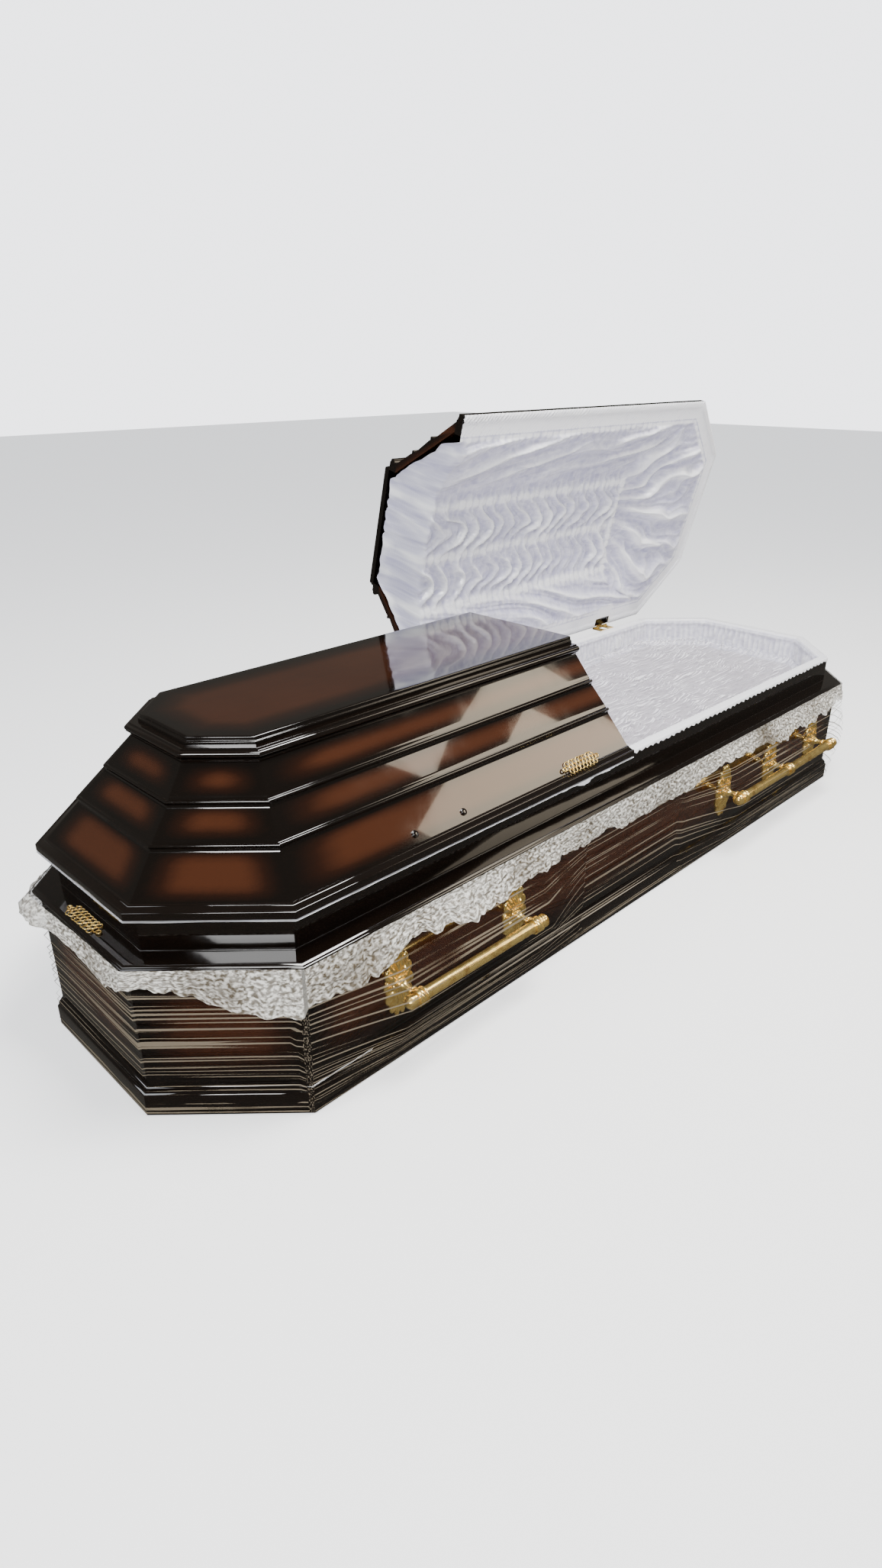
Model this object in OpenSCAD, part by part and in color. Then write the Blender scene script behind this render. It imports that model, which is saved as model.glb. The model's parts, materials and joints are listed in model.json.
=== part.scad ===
// Half-couch wooden coffin: an eight-sided base with a raised inner frame, a foot lid that
// rests closed on it, and a hinged head lid that stands open.
// +X runs to the head, +Z is up, and the origin is the middle of the underside.

/* [Plan] */
// Length over the rim
length = 2050; // [1650:10:2500]
// Width over the rim
width = 640; // [530:5:780]
// Run of each foot corner cut along the length
foot_cut = 180; // [120:5:230]
// Width of the foot end between its corner cuts
foot_end = 294; // [240:2:360]
// Run of each head corner cut along the length
head_cut = 162; // [120:2:220]
// Width of the head end between its corner cuts
head_end = 332; // [270:2:400]
// Place of the split between the lids, from mid length towards the head
split_x = -43; // [-120:1:120]
// Saw cut between the two lids
split_gap = 1.5; // [1:0.5:4]

/* [Base] */
// Thickness of the bottom board
bottom_t = 18; // [12:1:30]
// Thickness of the wall boards
wall_t = 18; // [12:1:24]
// Set-back of the wall face behind the rim edge
wall_in = 10; // [8:1:16]
// Height of the wall boards' top edge above the ground
wall_top = 254; // [200:2:340]
// Height of the plinth strip
plinth_h = 51; // [36:1:70]
// Thickness of the ledge board
ledge_t = 13; // [10:1:22]
// Set-back of the inner frame behind the rim edge
frame_in = 40; // [36:1:56]
// Thickness of the inner frame boards
frame_t = 18; // [12:1:24]
// Height of the inner frame above the ledge
frame_h = 58; // [40:1:90]

/* [Lid] */
// Set-back of the lid's bottom moulding behind the rim edge
lid_in = 17.5; // [12:0.5:24]
// Height of the bottom moulding's front edge
fascia_h = 13; // [9:1:20]
// Rise of the bottom moulding's sloping top
apron_rise = 4; // [2:0.5:8]
// Width of the bottom moulding's sloping top
apron_w = 17; // [10:1:24]
// Inward runs of the three plank courses, bottom to top
course_run = [54, 43, 36];
// Rises of the three plank courses, bottom to top
course_rise = [58, 47, 46];
// Thickness of the planks measured level
plank_t = 20; // [14:1:26]
// How far each upper course stands over the one below
nose = 4; // [2:0.5:6]
// Height of the cornice with its neck
cornice_h = 21; // [16:1:30]
// Overhang of the cornice past the planks
cornice_out = 6.5; // [3:0.5:12]
// Set-back of the top panel behind the cornice edge
panel_in = 20; // [12:1:30]
// Thickness of the top panel
panel_t = 12.5; // [8:0.5:20]
// Opening angle at which the head lid stops
open_deg = 75.5; // [60:0.5:90]

/* [Handles] */
// Height of the handle bars above the ground
handle_z = 138; // [110:1:170]
// Distance of the bar's axis from the wall
handle_out = 50; // [40:1:64]
// Radius of the bars
bar_r = 10; // [7:0.5:13]
// Bar ends past the outermost brackets
bar_over = 30; // [24:1:45]
// Distances of the foot handle's brackets from the foot end
foot_bracket_from_end = [360, 633];
// Distances of the head handle's brackets from the head end
head_bracket_from_end = [705, 490, 275];
// Height of a bracket's back plate
plate_h = 128; // [90:1:150]
// Width of a bracket's back plate
plate_w = 60; // [44:1:80]
// Thickness of a bracket's back plate
plate_t = 4; // [3:0.5:6]

/* [Trim] */
// Length of a filigree ornament
ornament_l = 104; // [70:1:130]
// Width of a filigree ornament
ornament_w = 28; // [22:1:32]
// Thickness of a filigree ornament
ornament_t = 4; // [3:0.5:8]
// Distance of the lid ornaments from the split
ornament_from_split = 144; // [100:1:300]
// Distances of the screw caps from the foot end
cap_from_end = [433, 540];
// Height of the screw caps up the slope of the lowest course
cap_up = 15; // [10:1:50]
// Radius of a screw cap
cap_r = 6; // [4:0.5:9]
// Distance of the first hinge from the split
hinge_from_split = 170; // [100:5:250]
// Distance of the second hinge from the head end
hinge_from_end = 348; // [300:2:450]
// Length of each hinge
hinge_l = 60; // [40:2:90]

/* [Soft parts] */
// Height of the bedding's top above the ground
bedding_top = 260; // [200:2:300]
// Thickness of the linings
lining_t = 4; // [3:0.5:8]
// Thickness of the folds that lie between the base and the lids
fold_t = 2.2; // [1.5:0.1:3]
// Clearance of everything soft from what it lies on
soft_gap = 0.3; // [0.2:0.1:0.6]
// Thickness of the wrapping film
film_t = 0.8; // [0.5:0.1:1.5]

/* [Hidden] */
$fn = 48;

LACQUER = [0.11, 0.045, 0.025];
EDGE_BLACK = [0.03, 0.02, 0.018];
GOLD = [0.83, 0.66, 0.33];
SATIN = [0.9, 0.9, 0.93];
BEDDING = [0.78, 0.75, 0.79];
FILM = [0.85, 0.83, 0.76, 0.35];

ledge_z = wall_top + ledge_t;
frame_z = ledge_z + frame_h;
frame_back = frame_in + frame_t;

fold_z = frame_z + soft_gap;
band_z = fold_z + fold_t + soft_gap;
lid_z = band_z + fold_t + soft_gap;
fascia_z = lid_z + fascia_h;
apron_z = fascia_z + apron_rise;

course_d0 = lid_in + apron_w;
course_d = [for (k = [0:3]) course_d0 + run_to(course_run, k)];
course_z = [for (k = [0:3]) apron_z + run_to(course_rise, k)];
plank_top_d = course_d[3] + plank_t;
cornice_z = course_z[3];
cornice_top = cornice_z + cornice_h;
cornice_d = course_d[3] - cornice_out;
panel_d = cornice_d + panel_in;

foot_brackets = [for (e = foot_bracket_from_end) e - length / 2];
head_brackets = [for (e = head_bracket_from_end) length / 2 - e];
cap_x = [for (e = cap_from_end) e - length / 2];
ornament_x = split_x - ornament_from_split;
hinge_x = [split_x + hinge_from_split, length / 2 - hinge_from_end];
hinge_r = 3.5;
pin_r = 1.6;
pin_clear = 0.1;
leaf_t = 2;
hinge_y = width / 2 - lid_in + hinge_r + 0.8;
hinge_z = lid_z - leaf_t;
knuckle_gap = 0.5;
foot_x = split_x - split_gap / 2;
head_x = split_x + split_gap / 2;

// Running total of the first k entries of a list.
function run_to(list, k) = k == 0 ? 0 : list[k - 1] + run_to(list, k - 1);
function unit(v) = v / norm(v);

// The eight faces of the plan, anticlockwise from the near long side, as [normal, distance].
foot_run = (width - foot_end) / 2;
head_run = (width - head_end) / 2;
foot_corner = [-length / 2, foot_end / 2];
head_corner = [length / 2, head_end / 2];
FACES = [
    [[0, -1], width / 2],
    slanted([head_run, -head_cut], [head_corner[0], -head_corner[1]]),
    [[1, 0], length / 2],
    slanted([head_run, head_cut], head_corner),
    [[0, 1], width / 2],
    slanted([-foot_run, foot_cut], foot_corner),
    [[-1, 0], length / 2],
    slanted([-foot_run, -foot_cut], [foot_corner[0], -foot_corner[1]])
];
function slanted(n, p) = [unit(n), unit(n) * p];

// Stations of a run round the plan: 0 to 7 are its corners, and the last two the lid's cut.
NEAR_CUT = 8;
FAR_CUT = 9;
ALL_ROUND = [0, 1, 2, 3, 4, 5, 6, 7];
FOOT_RUN = [FAR_CUT, 5, 6, 7, 0, NEAR_CUT];
HEAD_RUN = [NEAR_CUT, 1, 2, 3, 4, FAR_CUT];

// Corner i of the plan drawn in by d on every face.
function corner(i, d) =
    let (a = FACES[(i + 7) % 8], b = FACES[i])
    let (p = a[1] - d, q = b[1] - d)
    let (det = a[0][0] * b[0][1] - a[0][1] * b[0][0])
    [(p * b[0][1] - q * a[0][1]) / det, (a[0][0] * q - b[0][0] * p) / det];

function station(s, d, cut_x) =
    s == NEAR_CUT ? [cut_x, d - width / 2] :
    s == FAR_CUT ? [cut_x, width / 2 - d] : corner(s, d);

function outline(d) = [for (i = ALL_ROUND) corner(i, d)];

// A profile of [set-back, height] points carried past the stations, mitred at each.
// The end faces are cut into the convex loops of profile points given.
module carried(stations, profile, cut_x = 0, closed = false, loops = []) {
    n = len(profile);
    ends = len(loops) > 0 ? loops : [[for (j = [0:n - 1]) j]];
    m = len(stations);
    spans = closed ? m : m - 1;
    points = [for (s = stations) for (p = profile) concat(station(s, p[0], cut_x), p[1])];
    sides = [for (i = [0:spans - 1]) for (j = [0:n - 1])
        let (k = (i + 1) % m, l = (j + 1) % n)
        [i * n + j, i * n + l, k * n + l, k * n + j]];
    caps = closed ? [] : concat(
        [for (e = ends) [for (j = [len(e) - 1:-1:0]) e[j]]],
        [for (e = ends) [for (j = e) spans * n + j]]);
    polyhedron(points, concat(sides, caps), convexity = 8);
}

// A solid built of level slices, each the plan run drawn in by its own set-back.
module stacked(stations, levels, cut_x = 0) {
    m = len(stations);
    top = len(levels) - 1;
    points = [for (v = levels) for (s = stations) concat(station(s, v[0], cut_x), v[1])];
    sides = [for (i = [0:top - 1]) for (j = [0:m - 1])
        let (k = (j + 1) % m)
        [i * m + j, (i + 1) * m + j, (i + 1) * m + k, i * m + k]];
    caps = [[for (j = [0:m - 1]) j], [for (j = [0:m - 1]) top * m + m - 1 - j]];
    polyhedron(points, concat(sides, caps), convexity = 8);
}

// A flat board of the whole plan, drawn in by d.
module slab(d, z, t) {
    translate([0, 0, z]) linear_extrude(t) polygon(outline(d));
}

// A mitred upright board of face i between two set-backs.
module board(i, d, t, z, h) {
    k = (i + 1) % 8;
    foot = [corner(i, d), corner(k, d), corner(k, d + t), corner(i, d + t)];
    translate([0, 0, z]) linear_extrude(h) polygon(foot);
}

module bottom_board() {
    color(LACQUER) slab(wall_in, 0, bottom_t);
}

module wall(i) {
    color(LACQUER) board(i, wall_in, wall_t, bottom_t, wall_top - bottom_t);
}

module plinth() {
    step = wall_in * 0.3;
    cap_h = plinth_h * 0.12;
    color(EDGE_BLACK) carried(ALL_ROUND, [
        [0, 0], [0, plinth_h - 2 * cap_h - step], [step, plinth_h - 2 * cap_h],
        [step, plinth_h - cap_h], [wall_in, plinth_h], [wall_in, 0]
    ], closed = true);
}

module ledge() {
    bevel = ledge_t * 0.3;
    color(EDGE_BLACK) carried(ALL_ROUND, [
        [bevel / 2, wall_top], [0, wall_top + bevel / 2], [0, ledge_z - bevel],
        [bevel, ledge_z], [frame_back, ledge_z], [frame_back, wall_top]
    ], closed = true);
}

module inner_frame() {
    color(EDGE_BLACK) difference() {
        slab(frame_in, ledge_z, frame_h);
        slab(frame_back, ledge_z - 1, frame_h + 2);
    }
}

// Outer face of the lid planks: three courses, each upper one ending in a rounded nose.
function course_face(k) =
    let (base = [course_d[k], course_z[k]], end = [course_d[k + 1], course_z[k + 1]])
    let (up = unit(end - base), out = [-up[1], up[0]])
    k == 0 ? [base, end] :
    concat([for (a = [30:20:90]) base + nose * (up * (1 - cos(a)) + out * sin(a))], [end]);
PLANK_FACE = concat(course_face(0), course_face(1), course_face(2));
// The planks' straight inner face, with a point level with the foot of each course.
function plank_back(k) =
    let (share = (course_z[k] - apron_z) / (cornice_z - apron_z))
    [course_d0 + plank_t + share * (plank_top_d - course_d0 - plank_t), course_z[k]];
PLANK_PROFILE = concat(PLANK_FACE, [for (k = [3:-1:0]) plank_back(k)]);
// One convex loop of profile points for each course.
PLANK_LOOPS = [[0, 1, 14, 15], [1, 2, 3, 4, 5, 6, 13, 14], [6, 7, 8, 9, 10, 11, 12, 13]];

MOULDING_PROFILE = [
    [lid_in, lid_z], [lid_in, fascia_z - 1], [lid_in + 1, fascia_z], [course_d0, apron_z],
    [frame_back, apron_z], [frame_back, lid_z]
];

CORNICE_R = (cornice_h - 10) / 2;
CORNICE_PROFILE = concat(
    [[course_d[3], cornice_z], [course_d[3], cornice_z + 5]],
    [for (a = [-60:30:60])
        [cornice_d + CORNICE_R * (1 - cos(a)), cornice_top - CORNICE_R * (1 - sin(a))]],
    [[cornice_d + CORNICE_R, cornice_top], [plank_top_d, cornice_top], [plank_top_d, cornice_z]]);

// The top panel's stepped edge.
module panel(stations, cut_x) {
    step = panel_t / 4;
    levels = [[0, 0, 2.2], [step, 2.2, 1.1], [step * 1.8, 3.3, 0.7]];
    for (v = levels)
        translate([0, 0, cornice_top + v[1] * step])
            linear_extrude(v[2] * step)
                polygon([for (s = stations) station(s, panel_d + v[0], cut_x)]);
}

// A lining: an open-ended hood under the planks with a turned-over band below the moulding.
module lid_lining(stations, cut_x, inward) {
    levels = [
        [frame_back + soft_gap, band_z], [frame_back + soft_gap, apron_z],
        [plank_top_d + soft_gap, cornice_z], [plank_top_d + soft_gap, cornice_top - soft_gap]
    ];
    t = lining_t;
    hollow = [
        [levels[0][0] + t, band_z - 1], [levels[1][0] + t, apron_z],
        [levels[2][0] + t, cornice_z], [levels[3][0] + t, levels[3][1] - t]
    ];
    difference() {
        stacked(stations, levels, cut_x);
        stacked(stations, hollow, cut_x + inward * 5);
    }
    carried(stations, [
        [lid_in + 2.5, band_z], [lid_in + 2.5, band_z + fold_t],
        [frame_back + soft_gap + t / 2, band_z + fold_t], [frame_back + soft_gap + t / 2, band_z]
    ], cut_x);
}

// Everything on the head lid is drawn closed and swung to its stop.
module swung_open() {
    translate([0, hinge_y, hinge_z]) rotate([-open_deg, 0, 0])
        translate([0, -hinge_y, -hinge_z]) children();
}

module foot_lid_side(a, b) {
    color(LACQUER) carried([a, b], PLANK_PROFILE, foot_x, loops = PLANK_LOOPS);
}

module head_lid_side(a, b) {
    color(LACQUER) swung_open() carried([a, b], PLANK_PROFILE, head_x, loops = PLANK_LOOPS);
}

module foot_lid_moulding() {
    color(EDGE_BLACK) carried(FOOT_RUN, MOULDING_PROFILE, foot_x);
}

module foot_lid_cornice() {
    color(EDGE_BLACK) carried(FOOT_RUN, CORNICE_PROFILE, foot_x);
}

module foot_lid_top() {
    color(LACQUER) panel(FOOT_RUN, foot_x);
}

module head_lid_moulding() {
    color(EDGE_BLACK) swung_open() carried(HEAD_RUN, MOULDING_PROFILE, head_x);
}

module head_lid_cornice() {
    color(EDGE_BLACK) swung_open() carried(HEAD_RUN, CORNICE_PROFILE, head_x);
}

module head_lid_top() {
    color(LACQUER) swung_open() panel(HEAD_RUN, head_x);
}

module foot_lid_lining() {
    color(SATIN) lid_lining(FOOT_RUN, foot_x, 1);
}

module head_lid_lining() {
    color(SATIN) swung_open() lid_lining(HEAD_RUN, head_x, -1);
}

module bedding() {
    side = frame_back + lining_t + 2 * soft_gap;
    color(BEDDING) stacked(ALL_ROUND, [
        [side + 4, bottom_t + soft_gap], [side, bottom_t + 20],
        [side, bedding_top - 18], [side + 3, bedding_top - 6], [side + 10, bedding_top]
    ]);
}

module base_lining() {
    inner = frame_back + soft_gap;
    outer = frame_in - soft_gap;
    drop = 11;
    color(SATIN) difference() {
        carried(ALL_ROUND, [
            [outer - fold_t, fold_z - drop], [outer - fold_t, fold_z + fold_t],
            [inner + lining_t, fold_z + fold_t], [inner + lining_t, wall_top + 2],
            [inner, wall_top + 2], [inner, fold_z], [outer, fold_z], [outer, fold_z - drop]
        ], closed = true);
        for (x = hinge_x)
            translate([x - hinge_l / 2 - 1, width / 2 - outer - 0.5, fold_z - drop - 1])
                cube([hinge_l + 2, fold_t + 2, drop + fold_t + 2]);
    }
}

module wrapping_film() {
    low = plinth_h + 1;
    high = wall_top - 2;
    margin = 2;
    face = wall_in - soft_gap;
    color(FILM) difference() {
        slab(face - film_t, low, high - low);
        slab(face, low - 1, high - low + 2);
        for (x = concat(foot_brackets, head_brackets))
            translate([x - plate_w / 2 - margin, -width, handle_z - plate_h / 2 - margin])
                cube([plate_w + 2 * margin, 2 * width, plate_h + 2 * margin]);
    }
}

// Fixed half of a hinge: its leaf on the inner frame, an arm, and the two outer knuckles.
module hinge_base_leaf(x) {
    third = hinge_l / 3;
    frame_y = width / 2 - frame_in;
    arm_z = hinge_z - hinge_r + 0.2;
    color(GOLD) translate([x - hinge_l / 2, 0, 0]) difference() {
        union() {
            translate([0, frame_y, arm_z - 28]) cube([hinge_l, leaf_t, 28 + leaf_t]);
            for (start = [0, 2 * third + knuckle_gap]) {
                translate([start, frame_y, arm_z])
                    cube([third - knuckle_gap, hinge_y - frame_y, leaf_t]);
                translate([start, hinge_y, hinge_z]) rotate([0, 90, 0])
                    cylinder(h = third - knuckle_gap, r = hinge_r);
            }
        }
        translate([-1, hinge_y, hinge_z]) rotate([0, 90, 0])
            cylinder(h = hinge_l + 2, r = pin_r + pin_clear);
    }
}

// Moving half of a hinge: its leaf on the lid's moulding, the middle knuckle and the pin.
module hinge_lid_leaf(x) {
    third = hinge_l / 3;
    lid_y = width / 2 - lid_in;
    rise = hinge_z + hinge_r + 1;
    color(GOLD) swung_open() translate([x - hinge_l / 2, 0, 0]) {
        translate([0, lid_y, rise]) cube([hinge_l, leaf_t, fascia_z - 1 - rise]);
        translate([third, lid_y, lid_z]) cube([third, leaf_t, rise - lid_z + 0.5]);
        translate([third, lid_y + 0.8, hinge_z]) cube([third, hinge_r, rise - hinge_z]);
        translate([third, hinge_y, hinge_z]) rotate([0, 90, 0]) cylinder(h = third, r = hinge_r);
        translate([0, hinge_y, hinge_z]) rotate([0, 90, 0]) cylinder(h = hinge_l, r = pin_r);
    }
}

// Puts a shape drawn on the near side on either side of the coffin.
module on_side(far) {
    mirror([0, far ? 1 : 0, 0]) children();
}

// Scalloped outline with lobes round an oval of half-width a and half-height b.
function scallop(a, b, lobes, depth) = [for (t = [0:5:355])
    let (r = 1 - depth * (1 - abs(cos(lobes * t / 2)))) [a * r * cos(t), b * r * sin(t)]];

module bracket(x, far) {
    wall_y = wall_in - width / 2;
    eye_r = bar_r + 4;
    post_r = bar_r * 0.75;
    eye_l = 2 * post_r + 3;
    boss_r = 16;
    color(GOLD) on_side(far) translate([x, wall_y, handle_z]) difference() {
        union() {
            rotate([90, 0, 0]) linear_extrude(plate_t)
                polygon(scallop(plate_w / 2, plate_h / 2, 14, 0.16));
            rotate([90, 0, 0]) cylinder(h = plate_t + 5, r = boss_r);
            rotate([90, 0, 0]) cylinder(h = handle_out, r = post_r);
            translate([-eye_l / 2, -handle_out, 0]) rotate([0, 90, 0])
                cylinder(h = eye_l, r = eye_r);
        }
        translate([-eye_l, -handle_out, 0]) rotate([0, 90, 0])
            cylinder(h = 2 * eye_l, r = bar_r + pin_clear);
    }
}

// A bar with a rounded knob at each end.
module bar(spots, far) {
    from = spots[0] - bar_over;
    span = spots[len(spots) - 1] + bar_over - from;
    knob = 12;
    knob_r = bar_r + 2;
    color(GOLD) on_side(far)
        translate([from, wall_in - width / 2 - handle_out, handle_z]) rotate([0, 90, 0])
            rotate_extrude() polygon([
                [0, 0], [knob_r - 5, 0], [knob_r - 1.5, 2], [knob_r, 5], [knob_r, knob],
                [bar_r, knob + 1], [bar_r, span - knob - 1], [knob_r, span - knob],
                [knob_r, span - 5], [knob_r - 1.5, span - 2], [knob_r - 5, span], [0, span]
            ]);
}

module ornament_shape() {
    linear_extrude(ornament_t) polygon(scallop(ornament_l / 2, ornament_w / 2, 12, 0.2));
}

module ornament_ledge_foot() {
    color(GOLD) translate([(frame_in - length) / 2 - 2, 0, ledge_z]) rotate([0, 0, 90])
        ornament_shape();
}

// Lays a shape on the lowest plank course, a given distance up its slope.
module on_course(x, up, far) {
    slope = unit([course_run[0], course_rise[0]]);
    on_side(far)
        translate([x, course_d0 - width / 2 + up * slope[0], apron_z + up * slope[1]])
            rotate([atan2(slope[1], slope[0]), 0, 0]) children();
}

// The lid ornaments lean from the moulding's sloping top to the lowest course.
module ornament_lid(far) {
    slope = unit([course_run[0], course_rise[0]]);
    lower = [course_d0 - apron_w * 0.5, apron_z - apron_rise * 0.4];
    across = solve_lean(lower, slope, ornament_w);
    middle = lower + across * ornament_w / 2;
    color(GOLD) on_side(far) translate([ornament_x, middle[0] - width / 2, middle[1]])
        rotate([atan2(across[1], across[0]), 0, 0]) ornament_shape();
}

// Direction from a lower point to where a line of length w meets the lowest course.
function solve_lean(lower, slope, w) =
    let (gap = lower - [course_d0, apron_z], b = gap * slope)
    let (up = b + sqrt(b * b - gap * gap + w * w))
    unit([course_d0, apron_z] + slope * up - lower);

module screw_cap(x, far) {
    color(EDGE_BLACK) on_course(x, cap_up, far) cylinder(h = 2.5, r = cap_r);
}

bottom_board();
plinth();
wall(0);  // wall_near
wall(1);  // wall_head_near
wall(2);  // wall_head
wall(3);  // wall_head_far
wall(4);  // wall_far
wall(5);  // wall_foot_far
wall(6);  // wall_foot
wall(7);  // wall_foot_near
ledge();
inner_frame();
foot_lid_moulding();
foot_lid_side(0, NEAR_CUT);  // foot_lid_near
foot_lid_side(FAR_CUT, 5);  // foot_lid_far
foot_lid_side(7, 0);  // foot_lid_corner_near
foot_lid_side(6, 7);  // foot_lid_end
foot_lid_side(5, 6);  // foot_lid_corner_far
foot_lid_cornice();
foot_lid_top();
head_lid_moulding();
head_lid_side(NEAR_CUT, 1);  // head_lid_near
head_lid_side(4, FAR_CUT);  // head_lid_far
head_lid_side(1, 2);  // head_lid_corner_near
head_lid_side(2, 3);  // head_lid_end
head_lid_side(3, 4);  // head_lid_corner_far
head_lid_cornice();
head_lid_top();
bedding();
base_lining();
foot_lid_lining();
head_lid_lining();
wrapping_film();
hinge_base_leaf(hinge_x[0]);  // hinge_foot_base_leaf
hinge_base_leaf(hinge_x[1]);  // hinge_head_base_leaf
hinge_lid_leaf(hinge_x[0]);  // hinge_foot_lid_leaf
hinge_lid_leaf(hinge_x[1]);  // hinge_head_lid_leaf
bar(foot_brackets, false);  // near_foot_bar
bracket(foot_brackets[0], false);  // near_foot_bracket_1
bracket(foot_brackets[1], false);  // near_foot_bracket_2
bar(head_brackets, false);  // near_head_bar
bracket(head_brackets[0], false);  // near_head_bracket_1
bracket(head_brackets[1], false);  // near_head_bracket_2
bracket(head_brackets[2], false);  // near_head_bracket_3
bar(foot_brackets, true);  // far_foot_bar
bracket(foot_brackets[0], true);  // far_foot_bracket_1
bracket(foot_brackets[1], true);  // far_foot_bracket_2
bar(head_brackets, true);  // far_head_bar
bracket(head_brackets[0], true);  // far_head_bracket_1
bracket(head_brackets[1], true);  // far_head_bracket_2
bracket(head_brackets[2], true);  // far_head_bracket_3
ornament_ledge_foot();
ornament_lid(false);  // ornament_lid_near
ornament_lid(true);  // ornament_lid_far
screw_cap(cap_x[0], false);  // screw_cap_near_1
screw_cap(cap_x[1], false);  // screw_cap_near_2
screw_cap(cap_x[0], true);  // screw_cap_far_1
screw_cap(cap_x[1], true);  // screw_cap_far_2
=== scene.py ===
"""Half-couch wooden coffin: lacquered boards and mouldings, gathered satin, film and gilt fittings.

Every length is in metres, in the coffin's own frame: +X to the head, +Z up, and the origin in the
middle of the underside. The head lid's pieces are worked out closed and then swung to their stop.
"""

from __future__ import annotations

import json
import logging
import math
from dataclasses import dataclass, field
from enum import Enum
from typing import Sequence

import bmesh
import bpy
import numpy as np
from mathutils import Matrix, Vector

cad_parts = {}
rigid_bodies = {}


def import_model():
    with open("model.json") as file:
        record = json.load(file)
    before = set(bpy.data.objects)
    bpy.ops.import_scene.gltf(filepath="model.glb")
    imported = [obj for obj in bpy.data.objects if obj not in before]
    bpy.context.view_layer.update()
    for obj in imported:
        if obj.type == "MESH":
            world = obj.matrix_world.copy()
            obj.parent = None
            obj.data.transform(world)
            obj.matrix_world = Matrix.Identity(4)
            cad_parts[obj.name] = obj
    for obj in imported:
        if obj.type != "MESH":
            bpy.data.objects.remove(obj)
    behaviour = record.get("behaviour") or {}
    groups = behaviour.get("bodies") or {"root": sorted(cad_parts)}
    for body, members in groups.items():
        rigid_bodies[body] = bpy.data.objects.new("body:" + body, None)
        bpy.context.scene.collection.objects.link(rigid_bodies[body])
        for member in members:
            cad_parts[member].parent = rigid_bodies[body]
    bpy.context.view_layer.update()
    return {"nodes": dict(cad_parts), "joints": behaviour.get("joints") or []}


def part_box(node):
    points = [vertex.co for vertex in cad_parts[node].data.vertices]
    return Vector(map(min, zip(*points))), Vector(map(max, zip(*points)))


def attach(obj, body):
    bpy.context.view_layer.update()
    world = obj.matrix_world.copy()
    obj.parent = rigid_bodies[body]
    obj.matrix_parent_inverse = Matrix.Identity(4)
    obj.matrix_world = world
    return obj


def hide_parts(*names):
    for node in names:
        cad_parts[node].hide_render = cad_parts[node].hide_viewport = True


LOG = logging.getLogger("coffin")
Array = np.ndarray
Colour = tuple[float, float, float]
Part = tuple[Array, Array]
Material = bpy.types.Material
Mesh = bpy.types.Mesh
Object = bpy.types.Object
Socket = bpy.types.NodeSocket
Value = float | Socket


class Body(Enum):
    """The two bodies that the pieces ride on."""

    BASE = "base"
    HEAD_LID = "head_lid"


class Slot(Enum):
    """The record's material slots."""

    LACQUER = "lacquered_wood"
    BLACK = "black_lacquer"
    GILT = "gilt_metal"
    SATIN = "white_satin"
    BEDDING = "bedding_cloth"
    FILM = "clear_film"


class Side(Enum):
    """The two long sides; the value is the sign of Y."""

    NEAR = -1
    FAR = 1


class Half(Enum):
    """The two halves of the split lid, with the node prefix of each."""

    FOOT = "foot_lid"
    HEAD = "head_lid"

    @property
    def body(self) -> Body:
        """What this half rides on; the foot lid is fixed to the base."""
        return Body.HEAD_LID if self is Half.HEAD else Body.BASE


# Stations of a run round the plan: 0 to 7 are its corners, and these two the lid's cut.
NEAR_CUT = 8
FAR_CUT = 9
ALL_ROUND = (0, 1, 2, 3, 4, 5, 6, 7)
RUNS = {
    Half.FOOT: (FAR_CUT, 5, 6, 7, 0, NEAR_CUT),
    Half.HEAD: (NEAR_CUT, 1, 2, 3, 4, FAR_CUT),
}


# ---------------------------------------------------------------- patterns of numbers


# Odd multipliers that spread the bits of a cell's indices and of the seed.
BITS = 0xFFFFFFFF
SPREAD_X, SPREAD_Y, SPREAD_SEED, SPREAD_AGAIN = 374761393, 668265263, 40503, 1274126177
LAYERS = 3
LAYER_SEED = 17


def lattice(ix: Array, iy: Array, seed: int) -> Array:
    """Gives each whole-number cell its own fixed value by mixing the bits of its two indices.

    Args:
        ix: Cell indices along the first direction.
        iy: Cell indices along the second direction.
        seed: Number that picks the pattern.

    Returns:
        Values from 0 to 1.
    """
    spread = ix.astype(np.int64) * SPREAD_X + iy.astype(np.int64) * SPREAD_Y + seed * SPREAD_SEED
    mixed = spread & BITS
    mixed = ((mixed ^ (mixed >> 13)) * SPREAD_AGAIN) & BITS
    return ((mixed ^ (mixed >> 16)) & BITS) / BITS


def noise(x: Array, y: Array, seed: int) -> Array:
    """Smooth value noise: cell values blended by the curve 6t^5 - 15t^4 + 10t^3.

    Args:
        x: First coordinate, one cell per unit.
        y: Second coordinate, one cell per unit.
        seed: Number that picks the pattern.

    Returns:
        Values from -1 to 1.
    """
    x, y = np.broadcast_arrays(np.asarray(x, float), np.asarray(y, float))
    ix, iy = np.floor(x), np.floor(y)
    fx, fy = x - ix, y - iy
    sx, sy = (f * f * f * (f * (f * 6 - 15) + 10) for f in (fx, fy))
    low = lattice(ix, iy, seed) * (1 - sx) + lattice(ix + 1, iy, seed) * sx
    high = lattice(ix, iy + 1, seed) * (1 - sx) + lattice(ix + 1, iy + 1, seed) * sx
    return 2 * (low * (1 - sy) + high * sy) - 1


def rough(x: Array, y: Array, seed: int) -> Array:
    """Sum of noise layers, each twice as fine and half as strong as the one before.

    Args:
        x: First coordinate.
        y: Second coordinate.
        seed: Number that picks the pattern.

    Returns:
        Values of about -1 to 1.
    """
    layers = [noise(x * 2**k, y * 2**k, seed + LAYER_SEED * k) / 2**k for k in range(LAYERS)]
    return sum(layers) / (2 - 2.0 ** (1 - LAYERS))


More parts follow.
